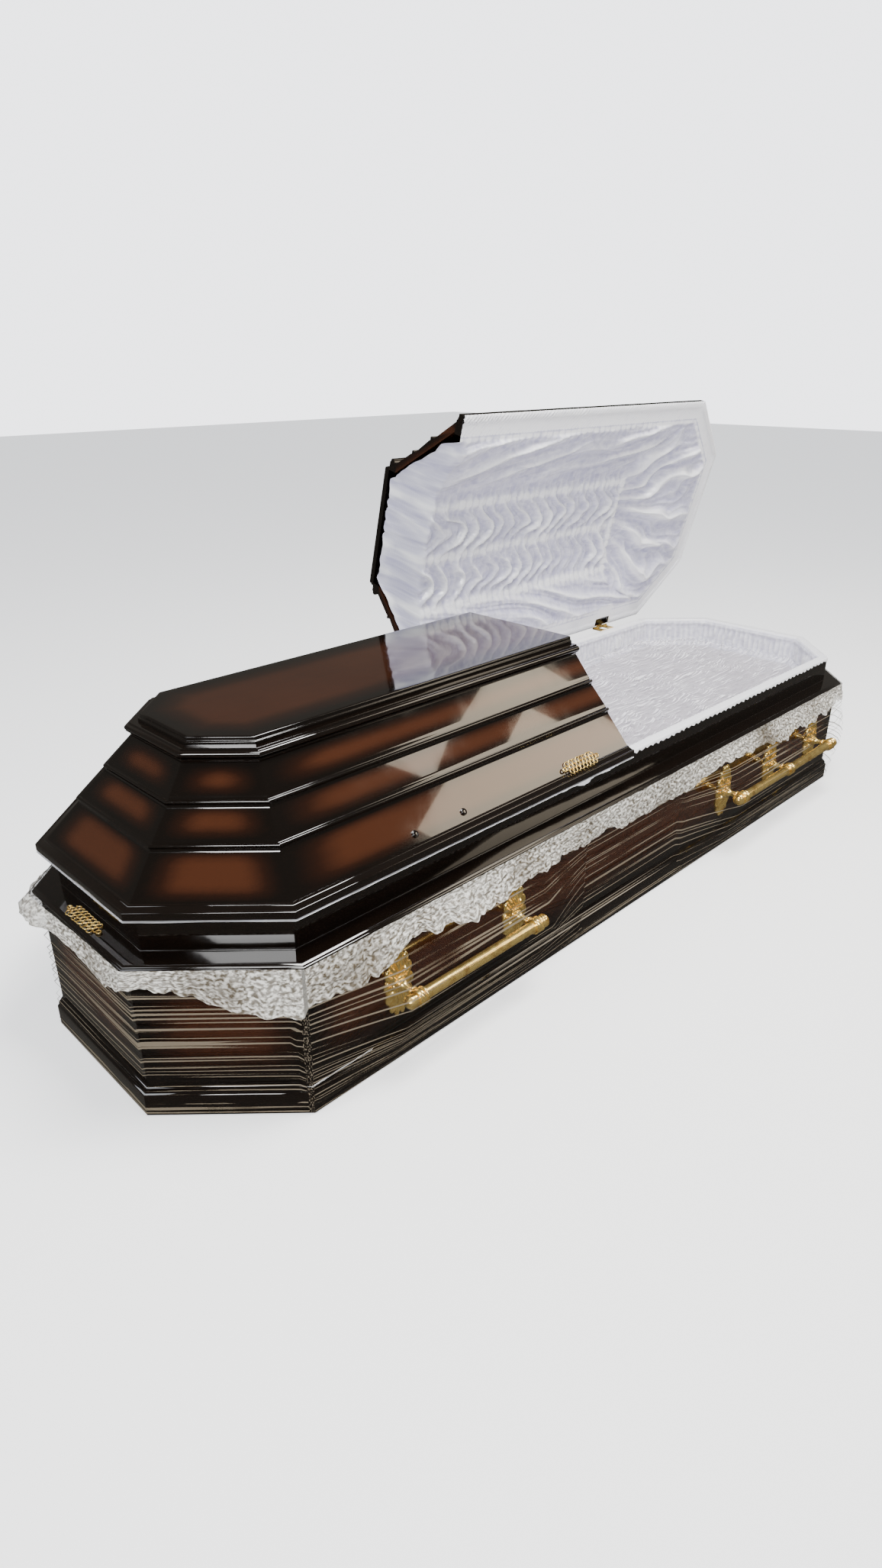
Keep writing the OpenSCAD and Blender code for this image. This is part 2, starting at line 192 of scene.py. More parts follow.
def smooth(edge: float, value: Array) -> Array:
    """Rises from 0 to 1 by 3t^2 - 2t^3 as the value goes from 0 to the edge."""
    t = np.clip(np.asarray(value, float) / edge, 0, 1)
    return t * t * (3 - 2 * t)


def ridges(phase: Array, sharpness: float) -> Array:
    """Soft crests at whole phases: 1 - |sin(pi phase)|, raised to the sharpness."""
    return (1 - np.abs(np.sin(math.pi * phase))) ** sharpness


# ---------------------------------------------------------------- plan and profiles


@dataclass(frozen=True)
class Plan:
    """The coffin's eight-sided outline at the rim, and how it draws in."""

    length: float
    width: float
    foot_cut: float = 0.180
    foot_end: float = 0.294
    head_cut: float = 0.162
    head_end: float = 0.332

    def faces(self) -> list[tuple[Array, float]]:
        """The outward normal and distance of each face, anticlockwise from the near long side."""
        foot_run = (self.width - self.foot_end) / 2
        head_run = (self.width - self.head_end) / 2
        foot = (-self.length / 2, self.foot_end / 2)
        head = (self.length / 2, self.head_end / 2)
        normals = [
            (0, -1), (head_run, -self.head_cut), (1, 0), (head_run, self.head_cut),
            (0, 1), (-foot_run, self.foot_cut), (-1, 0), (-foot_run, -self.foot_cut),
        ]
        points = [
            (0, -self.width / 2), (head[0], -head[1]), head, head,
            (0, self.width / 2), foot, foot, (foot[0], -foot[1]),
        ]
        units = [np.array(n, float) / math.hypot(*n) for n in normals]
        return [(n, float(n @ np.array(p))) for n, p in zip(units, points)]

    def station(self, stop: int, inset: Array, cut_x: float = 0.0) -> Array:
        """Where a stop of the run lies when every face is drawn in by the inset.

        A corner is the crossing of two lines n.p = c - inset, solved for p.

        Args:
            stop: Corner index, NEAR_CUT or FAR_CUT.
            inset: Distances that the faces are drawn in.
            cut_x: Place of the lid's cut.

        Returns:
            Plan points, with the inset's shape and a last axis of 2.
        """
        inset = np.asarray(inset, float)
        if stop in (NEAR_CUT, FAR_CUT):
            sign = -1 if stop == NEAR_CUT else 1
            return np.stack([np.full_like(inset, cut_x), sign * (self.width / 2 - inset)], -1)
        faces = self.faces()
        (a, ca), (b, cb) = faces[(stop + 7) % 8], faces[stop]
        p, q = ca - inset, cb - inset
        det = a[0] * b[1] - a[1] * b[0]
        return np.stack([p * b[1] - q * a[1], a[0] * q - b[0] * p], -1) / det

    def half_width(self, x: Array, inset: float) -> Array:
        """Half the plan's width at each x, drawn in by the inset: the least of its three limits."""
        x = np.asarray(x, float)
        limits = [
            (cx - inset - n[0] * x) / abs(n[1])
            for n, cx in (self.faces()[k] for k in (3, 4, 5))
        ]
        return np.clip(np.min(limits, axis=0), 0, None)


@dataclass
class Run:
    """A surface carried round the plan: points, distances along it and to the nearest mitre."""

    points: Array
    along: Array
    to_mitre: Array


def carried(
    plan: Plan, stops: Sequence[int], profile: Array, cut_x: float = 0.0,
    step: float = 0.2, closed: bool = False,
) -> Run:
    """Carries a profile past the stops, mitred at each: columns lie evenly between two mitres.

    Args:
        plan: Outline that the run follows.
        stops: Stations in order.
        profile: Rows of (inset, height).
        cut_x: Place of the lid's cut.
        step: Largest distance between columns.
        closed: Whether the last stop joins the first.

    Returns:
        The run, with one column of the profile's points at each place.
    """
    ring = list(stops) + ([stops[0]] if closed else [])
    corners = [plan.station(s, profile[:, 0], cut_x) for s in ring]
    columns, along, mitre = [], [], []
    start = 0.0
    for a, b in zip(corners[:-1], corners[1:]):
        span = float(np.linalg.norm(b[0] - a[0]))
        count = max(1, math.ceil(span / step))
        t = np.arange(count)[:, None, None] / count
        columns.append(a[None] * (1 - t) + b[None] * t)
        reach = np.linalg.norm(b - a, axis=1)[None, :]
        mitre.append(np.minimum(t[..., 0], 1 - t[..., 0]) * reach)
        along.append(start + t[:, 0, 0] * span)
        start += span
    if not closed:
        columns.append(corners[-1][None])
        mitre.append(np.zeros((1, len(profile))))
        along.append(np.array([start]))
    flat = np.concatenate(columns)
    height = np.broadcast_to(profile[:, 1][None, :, None], flat.shape[:2] + (1,))
    return Run(np.concatenate([flat, height], -1), np.concatenate(along), np.concatenate(mitre))


def arc(
    centre: tuple[float, float], radius: float, start: float, end: float, count: int
) -> Array:
    """Points on a circle: centre plus radius times (cosine, sine), from start to end in degrees."""
    angle = np.radians(np.linspace(start, end, count))
    return np.array(centre) + radius * np.stack([np.cos(angle), np.sin(angle)], -1)


def eased(points: Sequence[tuple[float, float]], radius: float, closed: bool = True) -> Array:
    """Rounds a profile's corners: each becomes a curve (1-t)^2 a + 2t(1-t) p + t^2 b between points
    that lie the radius, or under half a side, away from it.

    Args:
        points: Corners of the profile.
        radius: Distance from a corner at which its curve starts.
        closed: Whether the profile is a loop.

    Returns:
        The rounded profile's points.
    """
    corners = np.array(points, float)
    before, after = np.roll(corners, 1, 0), np.roll(corners, -1, 0)
    t = np.linspace(0, 1, 4)[None, :, None]

    def toward(other: Array) -> Array:
        """Points towards the other end of each side."""
        gap = np.linalg.norm(other - corners, axis=1, keepdims=True)
        return corners + (other - corners) * np.minimum(radius / np.maximum(gap, 1e-9), 0.45)

    a, b = toward(before)[:, None], toward(after)[:, None]
    curve = (1 - t) ** 2 * a + 2 * t * (1 - t) * corners[:, None] + t**2 * b
    if not closed:
        curve[0], curve[-1] = corners[0], corners[-1]
    return curve.reshape(-1, 2)


def distances(points: Array) -> Array:
    """Distance of each point along its line, from the first."""
    return np.concatenate([[0], np.cumsum(np.linalg.norm(np.diff(points, axis=0), axis=1))])


def resampled(points: Array, step: float) -> Array:
    """Spreads points evenly by distance along a line, at most the step apart."""
    reach = distances(points)
    even = np.linspace(0, reach[-1], math.ceil(reach[-1] / step) + 1)
    return np.stack([np.interp(even, reach, column) for column in points.T], -1)


def lanes(
    plan: Plan, inset: float, span: tuple[float, float], columns: int, rows: int
) -> tuple[Array, Array, Array]:
    """A grid that fills the plan drawn in by the inset.

    Args:
        plan: The outline.
        inset: Distance that its faces are drawn in.
        span: First and last place along X.
        columns: Number of places along X.
        rows: Number of points across.

    Returns:
        The grid's x, its y, and its lane from -1 at the near edge to 1 at the far one.
    """
    x, lane = np.meshgrid(np.linspace(*span, columns), np.linspace(-1, 1, rows), indexing="ij")
    return x, lane * plan.half_width(x, inset), lane


# ---------------------------------------------------------------- meshes


def quads(
    columns: int, rows: int, wrap_columns: bool = False, wrap_rows: bool = False
) -> Array:
    """Four-sided faces of a grid whose point (c, r) has the index c * rows + r."""
    c = np.arange(columns if wrap_columns else columns - 1)[:, None]
    r = np.arange(rows if wrap_rows else rows - 1)[None, :]
    c2, r2 = (c + 1) % columns, (r + 1) % rows
    faces = np.stack([c * rows + r, c2 * rows + r, c2 * rows + r2, c * rows + r2], -1)
    return faces.reshape(-1, 4)


def normals_of(points: Array) -> Array:
    """Unit normals of a grid: the cross product of its slopes along columns and rows."""
    along = np.gradient(points, axis=0)
    across = np.gradient(points, axis=1)
    normal = np.cross(along, across)
    return normal / np.maximum(np.linalg.norm(normal, axis=-1, keepdims=True), 1e-12)


def end_caps(columns: int, rows: int) -> list[list[int]]:
    """The two end faces of a closed profile's run."""
    last = (columns - 1) * rows
    return [list(range(rows)), list(range(last, last + rows))]


def lathe(stations: Array, segments: int) -> Part:
    """Turns (place, radius) rows round the X axis: a point is (place, r cos a, r sin a)."""
    angle = np.linspace(0, 2 * math.pi, segments, endpoint=False)
    place, radius = stations[:, :1], stations[:, 1:]
    along = np.broadcast_to(place, (len(stations), segments))
    points = np.stack([along, radius * np.cos(angle), radius * np.sin(angle)], -1)
    return points.reshape(-1, 3), quads(len(stations), segments, wrap_rows=True)


def shaped(parts: Sequence[Part], place: Matrix) -> Part:
    """Puts several (points, faces) parts into one and moves it to its place.

    Face numbers go up by the points before them. Each point is multiplied by the turn, and the
    shift is added.
    """
    starts = np.cumsum([0] + [len(p) for p, _ in parts[:-1]])
    points = np.concatenate([p for p, _ in parts])
    turn = np.array(place)
    faces = np.concatenate([f + first for (_, f), first in zip(parts, starts)])
    return points @ turn[:3, :3].T + turn[:3, 3], faces


def lay_uv(mesh: Mesh, uv: Array) -> None:
    """Writes one pair of cloth coordinates for each point into the mesh's UV map."""
    index = np.zeros(len(mesh.loops), np.int32)
    mesh.loops.foreach_get("vertex_index", index)
    layer = mesh.uv_layers[0] if mesh.uv_layers else mesh.uv_layers.new(name="cloth")
    layer.data.foreach_set("uv", uv[index].astype(np.float32).ravel())


@dataclass
class Piece:
    """One finished object: its mesh data, what it is made of, and what it rides on."""

    name: str
    points: Array
    faces: Array
    material: Material
    slot: Slot
    body: Body
    nodes: tuple[str, ...] = ()
    caps: list[list[int]] = field(default_factory=list)
    attributes: dict[str, Array] = field(default_factory=dict)
    uv: Array | None = None
    sharp_deg: float = 32.0
    solid: bool = True
    merge: float = 1e-6

    def build(self) -> Object:
        """Makes the object, turns a solid's faces outward, and ties it to its body and nodes.

        Returns:
            The new object.
        """
        mesh = bpy.data.meshes.new(self.name)
        points = np.ascontiguousarray(self.points.reshape(-1, 3))
        mesh.from_pydata(points.tolist(), [], self.faces.tolist() + self.caps)
        for key, values in self.attributes.items():
            layer = mesh.attributes.new(key, "FLOAT", "POINT")
            layer.data.foreach_set("value", np.asarray(values, np.float32).ravel())
        if self.uv is not None:
            lay_uv(mesh, self.uv.reshape(-1, 2))
        if self.solid:
            self.turned_out(mesh)
        mesh.polygons.foreach_set("use_smooth", np.ones(len(mesh.polygons), bool))
        mesh.set_sharp_from_angle(angle=math.radians(self.sharp_deg))
        mesh.materials.append(self.material)
        made = bpy.data.objects.new(self.name, mesh)
        bpy.context.scene.collection.objects.link(made)
        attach(made, self.body.value)
        if self.nodes:
            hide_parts(*self.nodes)
        LOG.info("%s: %d faces", self.name, len(mesh.polygons))
        return made

    def turned_out(self, mesh: Mesh) -> None:
        """Merges doubled points and turns the faces of closed shapes outward."""
        work = bmesh.new()
        work.from_mesh(mesh)
        bmesh.ops.remove_doubles(work, verts=work.verts, dist=self.merge)
        bmesh.ops.recalc_face_normals(work, faces=work.faces)
        work.to_mesh(mesh)
        work.free()


# ---------------------------------------------------------------- finishes


class Nodes:
    """Short calls that build the nodes of one material or world."""

    def __init__(
        self, holder: Material | bpy.types.World, end: str = "OutputMaterial"
    ) -> None:
        """Clears the holder's nodes and starts with its output."""
        holder.use_nodes = True
        self.holder = holder
        self.tree = holder.node_tree
        self.tree.nodes.clear()
        self.output = self.add(end)

    def add(
        self, kind: str, settings: dict | None = None, **inputs: Value | tuple
    ) -> bpy.types.Node:
        """Adds a node, sets its options, and links or sets its inputs.

        Args:
            kind: The node type's name after "ShaderNode".
            settings: Options of the node.
            **inputs: A value or a socket for each input, by its name with _ for a space, or by
                its number as in0, in1.

        Returns:
            The node.
        """
        made = self.tree.nodes.new("ShaderNode" + kind)
        for key, value in (settings or {}).items():
            setattr(made, key, value)
        for key, value in inputs.items():
            number = key[2:] if key.startswith("in") else ""
            socket = made.inputs[int(number) if number.isdigit() else key.replace("_", " ")]
            if isinstance(value, Socket):
                self.tree.links.new(value, socket)
            else:
                socket.default_value = value
        return made

    def math(self, operation: str, a: Value, b: Value = 0.0, c: Value = 0.0) -> Socket:
        """A Math node's result."""
        return self.add("Math", {"operation": operation}, in0=a, in1=b, in2=c).outputs[0]

    def field(self, name: str) -> Socket:
        """The value of one of the piece's own attributes."""
        return self.add("Attribute", {"attribute_name": name}).outputs["Fac"]

    def coordinates(
        self, scale: Sequence[float] = (1, 1, 1), uv: bool = False, turn: float = 0.0
    ) -> Socket:
        """Object coordinates, or the piece's own UV map, stretched by the scale."""
        source = self.add("TexCoord").outputs["UV" if uv else "Object"]
        mapping = self.add("Mapping", in0=source)
        mapping.inputs["Scale"].default_value = tuple(scale)
        mapping.inputs["Rotation"].default_value = (0, 0, turn)
        return mapping.outputs[0]

    def noise(
        self, vector: Socket, scale: float, detail: float, warp: float = 0.0
    ) -> Socket:
        """A noise texture's value."""
        inputs = {"Vector": vector, "Scale": scale, "Detail": detail, "Distortion": warp}
        return self.add("TexNoise", **inputs).outputs[0]

    def ramp(self, value: Value, stops: Sequence[tuple[float, Colour]]) -> Socket:
        """A colour ramp through (place, colour) stops."""
        made = self.add("ValToRGB", Fac=value)
        band = made.color_ramp
        while len(band.elements) < len(stops):
            band.elements.new(0.5)
        for element, (place, colour) in zip(band.elements, stops):
            element.position = place
            element.color = (*colour, 1.0)
        return made.outputs[0]

    def level(self, value: Value, low: float, high: float) -> Socket:
        """The value brought from the range low to high into 0 to 1."""
        made = self.add("MapRange", Value=value)
        made.inputs["From Min"].default_value = low
        made.inputs["From Max"].default_value = high
        return made.outputs[0]

    def bump(
        self, height: Socket, strength: float, depth: float, normal: Socket | None = None
    ) -> Socket:
        """A Bump node's normal, laid over another where one is given."""
        extra = {"Normal": normal} if normal is not None else {}
        made = self.add("Bump", Height=height, Strength=strength, Distance=depth, **extra)
        return made.outputs[0]

    def finish(self, settings: dict, **inputs: Value) -> Material:
        """Ends the material with a Principled shader; settings are plain values by socket name."""
        shader = self.add("BsdfPrincipled", **inputs)
        for key, value in settings.items():
            shader.inputs[key].default_value = value
        self.tree.links.new(shader.outputs[0], self.output.inputs[0])
        return self.holder


@dataclass(frozen=True)
class Lacquer:
    """High-gloss lacquer over stained boards, shaded from a glowing middle to dark edges."""

    name: str
    deep: Colour = (0.0030, 0.0018, 0.0012)
    middle: Colour = (0.0125, 0.0040, 0.0018)
    glow: Colour = (0.044, 0.0135, 0.0054)
    gloss: float = 0.07
    shaded: bool = True
    grain: float = 0.12
    plain_grain: float = 0.18
    uneven: float = 0.34
    smear: float = 0.05
    peel_depth: float = 0.0008
    sag_depth: float = 0.005

    def material(self) -> Material:
        """Grain streaks along X, the sunburst from the boards' own attribute, and orange peel."""
        n = Nodes(bpy.data.materials.new(self.name))
        grain = n.noise(n.coordinates((2.2, 30, 30)), 6.0, 1.5, 0.4)
        cloud = n.noise(n.coordinates(), 7.0, 3.0)
        if self.shaded:
            burst = n.field("burst")
            uneven = n.math("MULTIPLY_ADD", cloud, self.uneven, -self.uneven / 2)
            value = n.math("ADD", burst, n.math("MULTIPLY", uneven, burst))
            centred = n.math("SUBTRACT", grain, 0.5)
            value = n.math("MULTIPLY_ADD", centred, self.grain, value)
        else:
            value = n.math("MULTIPLY", grain, self.plain_grain)
        colour = n.ramp(value, [(0.04, self.deep), (0.45, self.middle), (1.0, self.glow)])
        peel = n.noise(n.coordinates(), 85.0, 2.0)
        sag = n.noise(n.coordinates(), 14.0, 1.0)
        normal = n.bump(peel, 0.05, self.peel_depth)
        normal = n.bump(sag, 0.14, self.sag_depth, normal)
        roughness = n.math("MULTIPLY_ADD", n.level(cloud, 0.3, 0.8), self.smear, self.gloss)
        return n.finish(
            {"Coat Weight": 1.0, "Coat Roughness": 0.03, "Coat IOR": 1.55, "IOR": 1.4},
            Base_Color=colour, Roughness=roughness, Normal=normal,
        )


@dataclass(frozen=True)
class Gilt:
    """Bright gold plating on cast metal, dulled in cloudy patches."""

    name: str = "gilt_metal"
    bright: Colour = (1.0, 0.74, 0.27)
    dull: Colour = (0.70, 0.44, 0.13)
    gloss: float = 0.13
    uneven: float = 0.18
    grit_depth: float = 0.0006

    def material(self) -> Material:
        """Cloudy plating colour, soft casting texture and fine polish marks."""
        n = Nodes(bpy.data.materials.new(self.name))
        cloud = n.noise(n.coordinates(), 60.0, 4.0)
        stops = [(0.0, self.dull), (0.55, self.bright), (1.0, self.bright)]
        colour = n.ramp(n.level(cloud, 0.3, 0.7), stops)
        grit = n.noise(n.coordinates(), 520.0, 3.0)
        roughness = n.math("MULTIPLY_ADD", cloud, self.uneven, self.gloss)
        normal = n.bump(grit, 0.2, self.grit_depth)
        return n.finish({"Metallic": 0.90}, Base_Color=colour, Roughness=roughness, Normal=normal)


@dataclass(frozen=True)
class Satin:
    """Woven satin: fine cross threads and a soft sheen, with lilac shade painted into its creases
    and folds.
    """

    name: str
    # The colour runs between light and shade as painted light and painted shade on the creases and
    # folds.
    light: Colour = (0.97, 0.97, 1.0)
    shade: Colour = (0.40, 0.39, 0.58)
    roughness: float = 0.23
    creased: float = 0.30
    folded: bool = True
    warp: float = 420.0
    weft: float = 260.0
    weave: float = 0.05
    fold_shade_share: float = 0.85
    crease_shade_share: float = 0.30

    def material(self) -> Material:
        """Threads by two fine waves on the cloth's UV map, small creases and uneven sheen; the
        colour is painted shade, darker where the crease noise is low and, when folded, in the
        folds' hollows, lighter on their crests.
        """
        n = Nodes(bpy.data.materials.new(self.name))
        warp, weft = (
            n.add(
                "TexWave", {"bands_direction": axis}, Vector=n.coordinates(uv=True), Scale=scale
            ).outputs[1]
            for axis, scale in (("X", self.warp), ("Y", self.weft))
        )
        weave = n.math("ADD", warp, n.math("MULTIPLY", weft, 0.6))
        crease = n.noise(n.coordinates((1, 1.6, 1), uv=True), 42.0, 3.0, 0.8)
        threads = n.math("MULTIPLY_ADD", n.math("SUBTRACT", weave, 0.8), self.weave, crease)
        # Painted shade: the crease noise that bumps the cloth also darkens its low parts; the weave
        # adds faint threads.
        weave_and_shade = n.level(threads, 0.25, 0.65)
        if self.folded:
            # When folded, the relief attribute paints shade in the folds' hollows and light on
            # their crests.
            small = n.math("MULTIPLY", weave_and_shade, self.crease_shade_share)
            weave_and_shade = n.math("MULTIPLY_ADD", n.field("relief"), self.fold_shade_share, small)
        colour = n.ramp(weave_and_shade, [(0.0, self.shade), (0.72, self.light)])
        roughness = n.math("MULTIPLY_ADD", crease, 0.14, self.roughness - 0.07)
        normal = n.bump(crease, self.creased, 0.004)
        normal = n.bump(weave, 0.05, 0.0003, normal)
        return n.finish(
            {"Sheen Weight": 0.35, "Sheen Roughness": 0.35, "Specular IOR Level": 0.9},
            Base_Color=colour, Roughness=roughness, Normal=normal,
        )


@dataclass(frozen=True)
class Film:
    """Clear stretch film: see-through, with pale stretched strands where it is drawn tight."""

    name: str
    strand: Colour = (0.20, 0.165, 0.115)
    hollow: Colour = (0.10, 0.075, 0.045)
    clear: float = 0.0
    milky: float = 0.72
    veil: float = 0.0
    pitch: float = 6.0
    detail: float = 0.3
    stretch: tuple[float, float, float] = (0.30, 42.0, 1.0)
    threshold: tuple[float, float] = (0.568, 0.612)
    spread: tuple[float, float] = (0.30, 0.42)
    turn: float = 0.0
    roughness: float = 0.32
    relief: float = 0.02
    thinning: float = 0.10

    def material(self) -> Material:
        """Strands from noise drawn out along the UV map, fewer of them where cover is low.

        Beyond the strands, a veil of wider noise; both are patchy and set the see-through share.
        """
        n = Nodes(bpy.data.materials.new(self.name))
        here = n.coordinates(self.stretch, uv=True, turn=self.turn)
        wide = n.noise(here, 1.6, 1.0)
        fine = n.noise(here, self.pitch, self.detail)
        patch = n.noise(n.coordinates((1, 1.6, 1), uv=True), 5.0, 2.0)
        less = n.math("MULTIPLY_ADD", n.field("cover"), self.thinning, -self.thinning)
        drawn = n.level(n.math("ADD", fine, less), *self.threshold)
        strands = n.math("MULTIPLY", drawn, n.level(patch, *self.spread))
        veil = n.math("MULTIPLY", n.level(wide, 0.5, 0.85), self.veil)
        thick = n.math("MAXIMUM", strands, veil)
        alpha = n.math("MULTIPLY_ADD", thick, self.milky, self.clear)
        shade = n.math("MULTIPLY_ADD", thick, 0.60, n.math("MULTIPLY", patch, 0.60))
        between = tuple((a + b) / 2 for a, b in zip(self.hollow, self.strand))
        tint = n.ramp(shade, [(0.25, self.hollow), (0.62, between), (0.92, self.strand)])
        normal = n.bump(n.math("ADD", fine, wide), self.relief, 0.002)
        return n.finish(
            {"IOR": 1.45, "Specular IOR Level": 0.6, "Roughness": self.roughness},
            Base_Color=tint, Alpha=alpha, Normal=normal,
        )


def made_by(recipe: Lacquer | Gilt | Satin | Film) -> Material:
    """A dataclass field that makes the recipe's material when its owner is built."""
    return field(default_factory=recipe.material)


@dataclass
class Finishes:
    """The materials, made once."""

    boards: Material = made_by(Lacquer("sunburst_lacquer"))
    black: Material = made_by(
        Lacquer("black_lacquer", middle=(0.010, 0.005, 0.003), shaded=False, gloss=0.06)
    )
    gilt: Material = made_by(Gilt())
    satin: Material = made_by(Satin("lid_satin"))
    skirt: Material = made_by(Satin("skirt_satin", shade=(0.48, 0.47, 0.58), roughness=0.36))
    bedding: Material = made_by(Satin(
        "bedding_cloth", light=(0.56, 0.53, 0.57), shade=(0.36, 0.33, 0.38), roughness=0.5,
        folded=False,
    ))
    wrap: Material = made_by(Film("wall_film"))
    bunch: Material = made_by(Film(
        "bunched_film", strand=(0.80, 0.78, 0.72), hollow=(0.13, 0.105, 0.07), clear=0.70,
        milky=0.30, veil=0.5, stretch=(24.0, 80.0, 1.0), turn=0.45, threshold=(0.40, 0.60),
        spread=(0.20, 0.45), pitch=5.5, detail=4.0, relief=0.9,
    ))
    cover: Material = made_by(Film(
        "bedding_film", strand=(0.93, 0.92, 0.96), hollow=(0.50, 0.48, 0.52), clear=0.22,
        milky=0.60, veil=0.5, stretch=(2.5, 46.0, 1.0), turn=0.5, threshold=(0.48, 0.60),
        relief=0.4,
    ))


# ---------------------------------------------------------------- what the frame says


FRAME_T = 0.018


@dataclass(frozen=True)
class Frame:
    """Levels, set-backs from the rim (in, back) and the hinge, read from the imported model."""

    plan: Plan
    wall_in: float
    wall_low: float
    wall_top: float
    plinth_top: float
    ledge_top: float
    frame_in: float
    frame_back: float
    frame_top: float
    lid_low: float
    lid_in: float
    apron_top: float
    cornice_low: float
    cornice_in: float
    cornice_top: float
    panel_in: float
    panel_top: float
    foot_x: float
    head_x: float
    hinge: Vector
    open_angle: float

    @classmethod
    def read(cls, joint: dict) -> "Frame":
        """Takes the sizes from the CAD nodes' boxes and the hinge from the joint.

        Args:
            joint: The head lid's hinge, from the record.

        Returns:
            The sizes.
        """
        ledge, wall, inner = (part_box(node) for node in ("ledge", "wall_near", "inner_frame"))
        moulding, near, cornice, top = (
            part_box("foot_lid_" + part) for part in ("moulding", "near", "cornice", "top")
        )
        edge = ledge[1].y
        return cls(
            plan=Plan(ledge[1].x - ledge[0].x, 2 * edge),
            wall_in=edge + wall[0].y,
            wall_low=wall[0].z,
            wall_top=wall[1].z,
            plinth_top=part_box("plinth")[1].z,
            ledge_top=ledge[1].z,
            frame_in=edge - inner[1].y,
            frame_back=edge - inner[1].y + FRAME_T,
            frame_top=inner[1].z,
            lid_low=moulding[0].z,
            lid_in=edge - moulding[1].y,
            apron_top=near[0].z,
            cornice_low=cornice[0].z,
            cornice_in=edge - cornice[1].y,
            cornice_top=cornice[1].z,
            panel_in=edge - top[1].y,
            panel_top=top[1].z,
            foot_x=moulding[1].x,
            head_x=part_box("head_lid_moulding")[0].x,
            hinge=Vector(joint["pos_m"]),
            open_angle=math.radians(joint["range_deg"][1]),
        )

    def cut(self, half: Half) -> float:
        """Place of the lid half's cut."""
        return self.foot_x if half is Half.FOOT else self.head_x

    def placed(self, points: Array, half: Half | None) -> Array:
        """Swings the head lid's points to its stop and leaves all others as they are.

        Args:
            points: Points of the closed coffin.
            half: The lid that they belong to, or none.

        Returns:
            The points where the piece is at rest.
        """
        if half is not Half.HEAD:
            return points
        centre = np.array(self.hinge)
        c, s = math.cos(-self.open_angle), math.sin(-self.open_angle)
        turn = np.array([[1, 0, 0], [0, c, -s], [0, s, c]])
        return (points - centre) @ turn.T + centre


# ---------------------------------------------------------------- the base


@dataclass
class Joinery:
    """Makes mitred boards and mouldings round the plan."""

    frame: Frame
    finishes: Finishes

    def moulding(self, name: str, node: str, profile: Array, half: Half | None = None) -> None:
        """A black moulding carried round: closed on itself, or cut with its lid.

        Args:
            name: Name of the piece.
            node: CAD node that it stands for.
            profile: Closed loop of (inset, height).
            half: The lid that it belongs to, or none.
        """
        closed = half is None
        stops, cut_x = (ALL_ROUND, 0.0) if closed else (RUNS[half], self.frame.cut(half))
        run = carried(self.frame.plan, stops, profile, cut_x, step=0.12, closed=closed)
        columns, rows = run.points.shape[:2]
        Piece(
            name, self.frame.placed(run.points, half), quads(columns, rows, closed, True),
            self.finishes.black, Slot.BLACK, Body.BASE if closed else half.body, (node,),
            caps=[] if closed else end_caps(columns, rows),
        ).build()

    def board(
        self, name: str, node: str, points: Array, burst: Array,
        half: Half | None = None, caps: list[list[int]] | None = None,
    ) -> None:
        """A lacquered board, darker where its sunburst is low.

        Args:
            name: Name of the piece.
            node: CAD node that it stands for.
            points: Its grid; each column is a closed profile unless caps are given.
            burst: Strength of the sunburst at each point, from 0 to 1.
            half: The lid that it belongs to, or none.
            caps: Faces that close it, or none for the two ends of a closed profile's run.
        """
        columns, rows = points.shape[:2]
        Piece(
            name, self.frame.placed(points, half), quads(columns, rows, wrap_rows=caps is None),
            self.finishes.boards, Slot.LACQUER, half.body if half else Body.BASE, (node,),
            caps=caps or end_caps(columns, rows), attributes={"burst": burst},
        ).build()


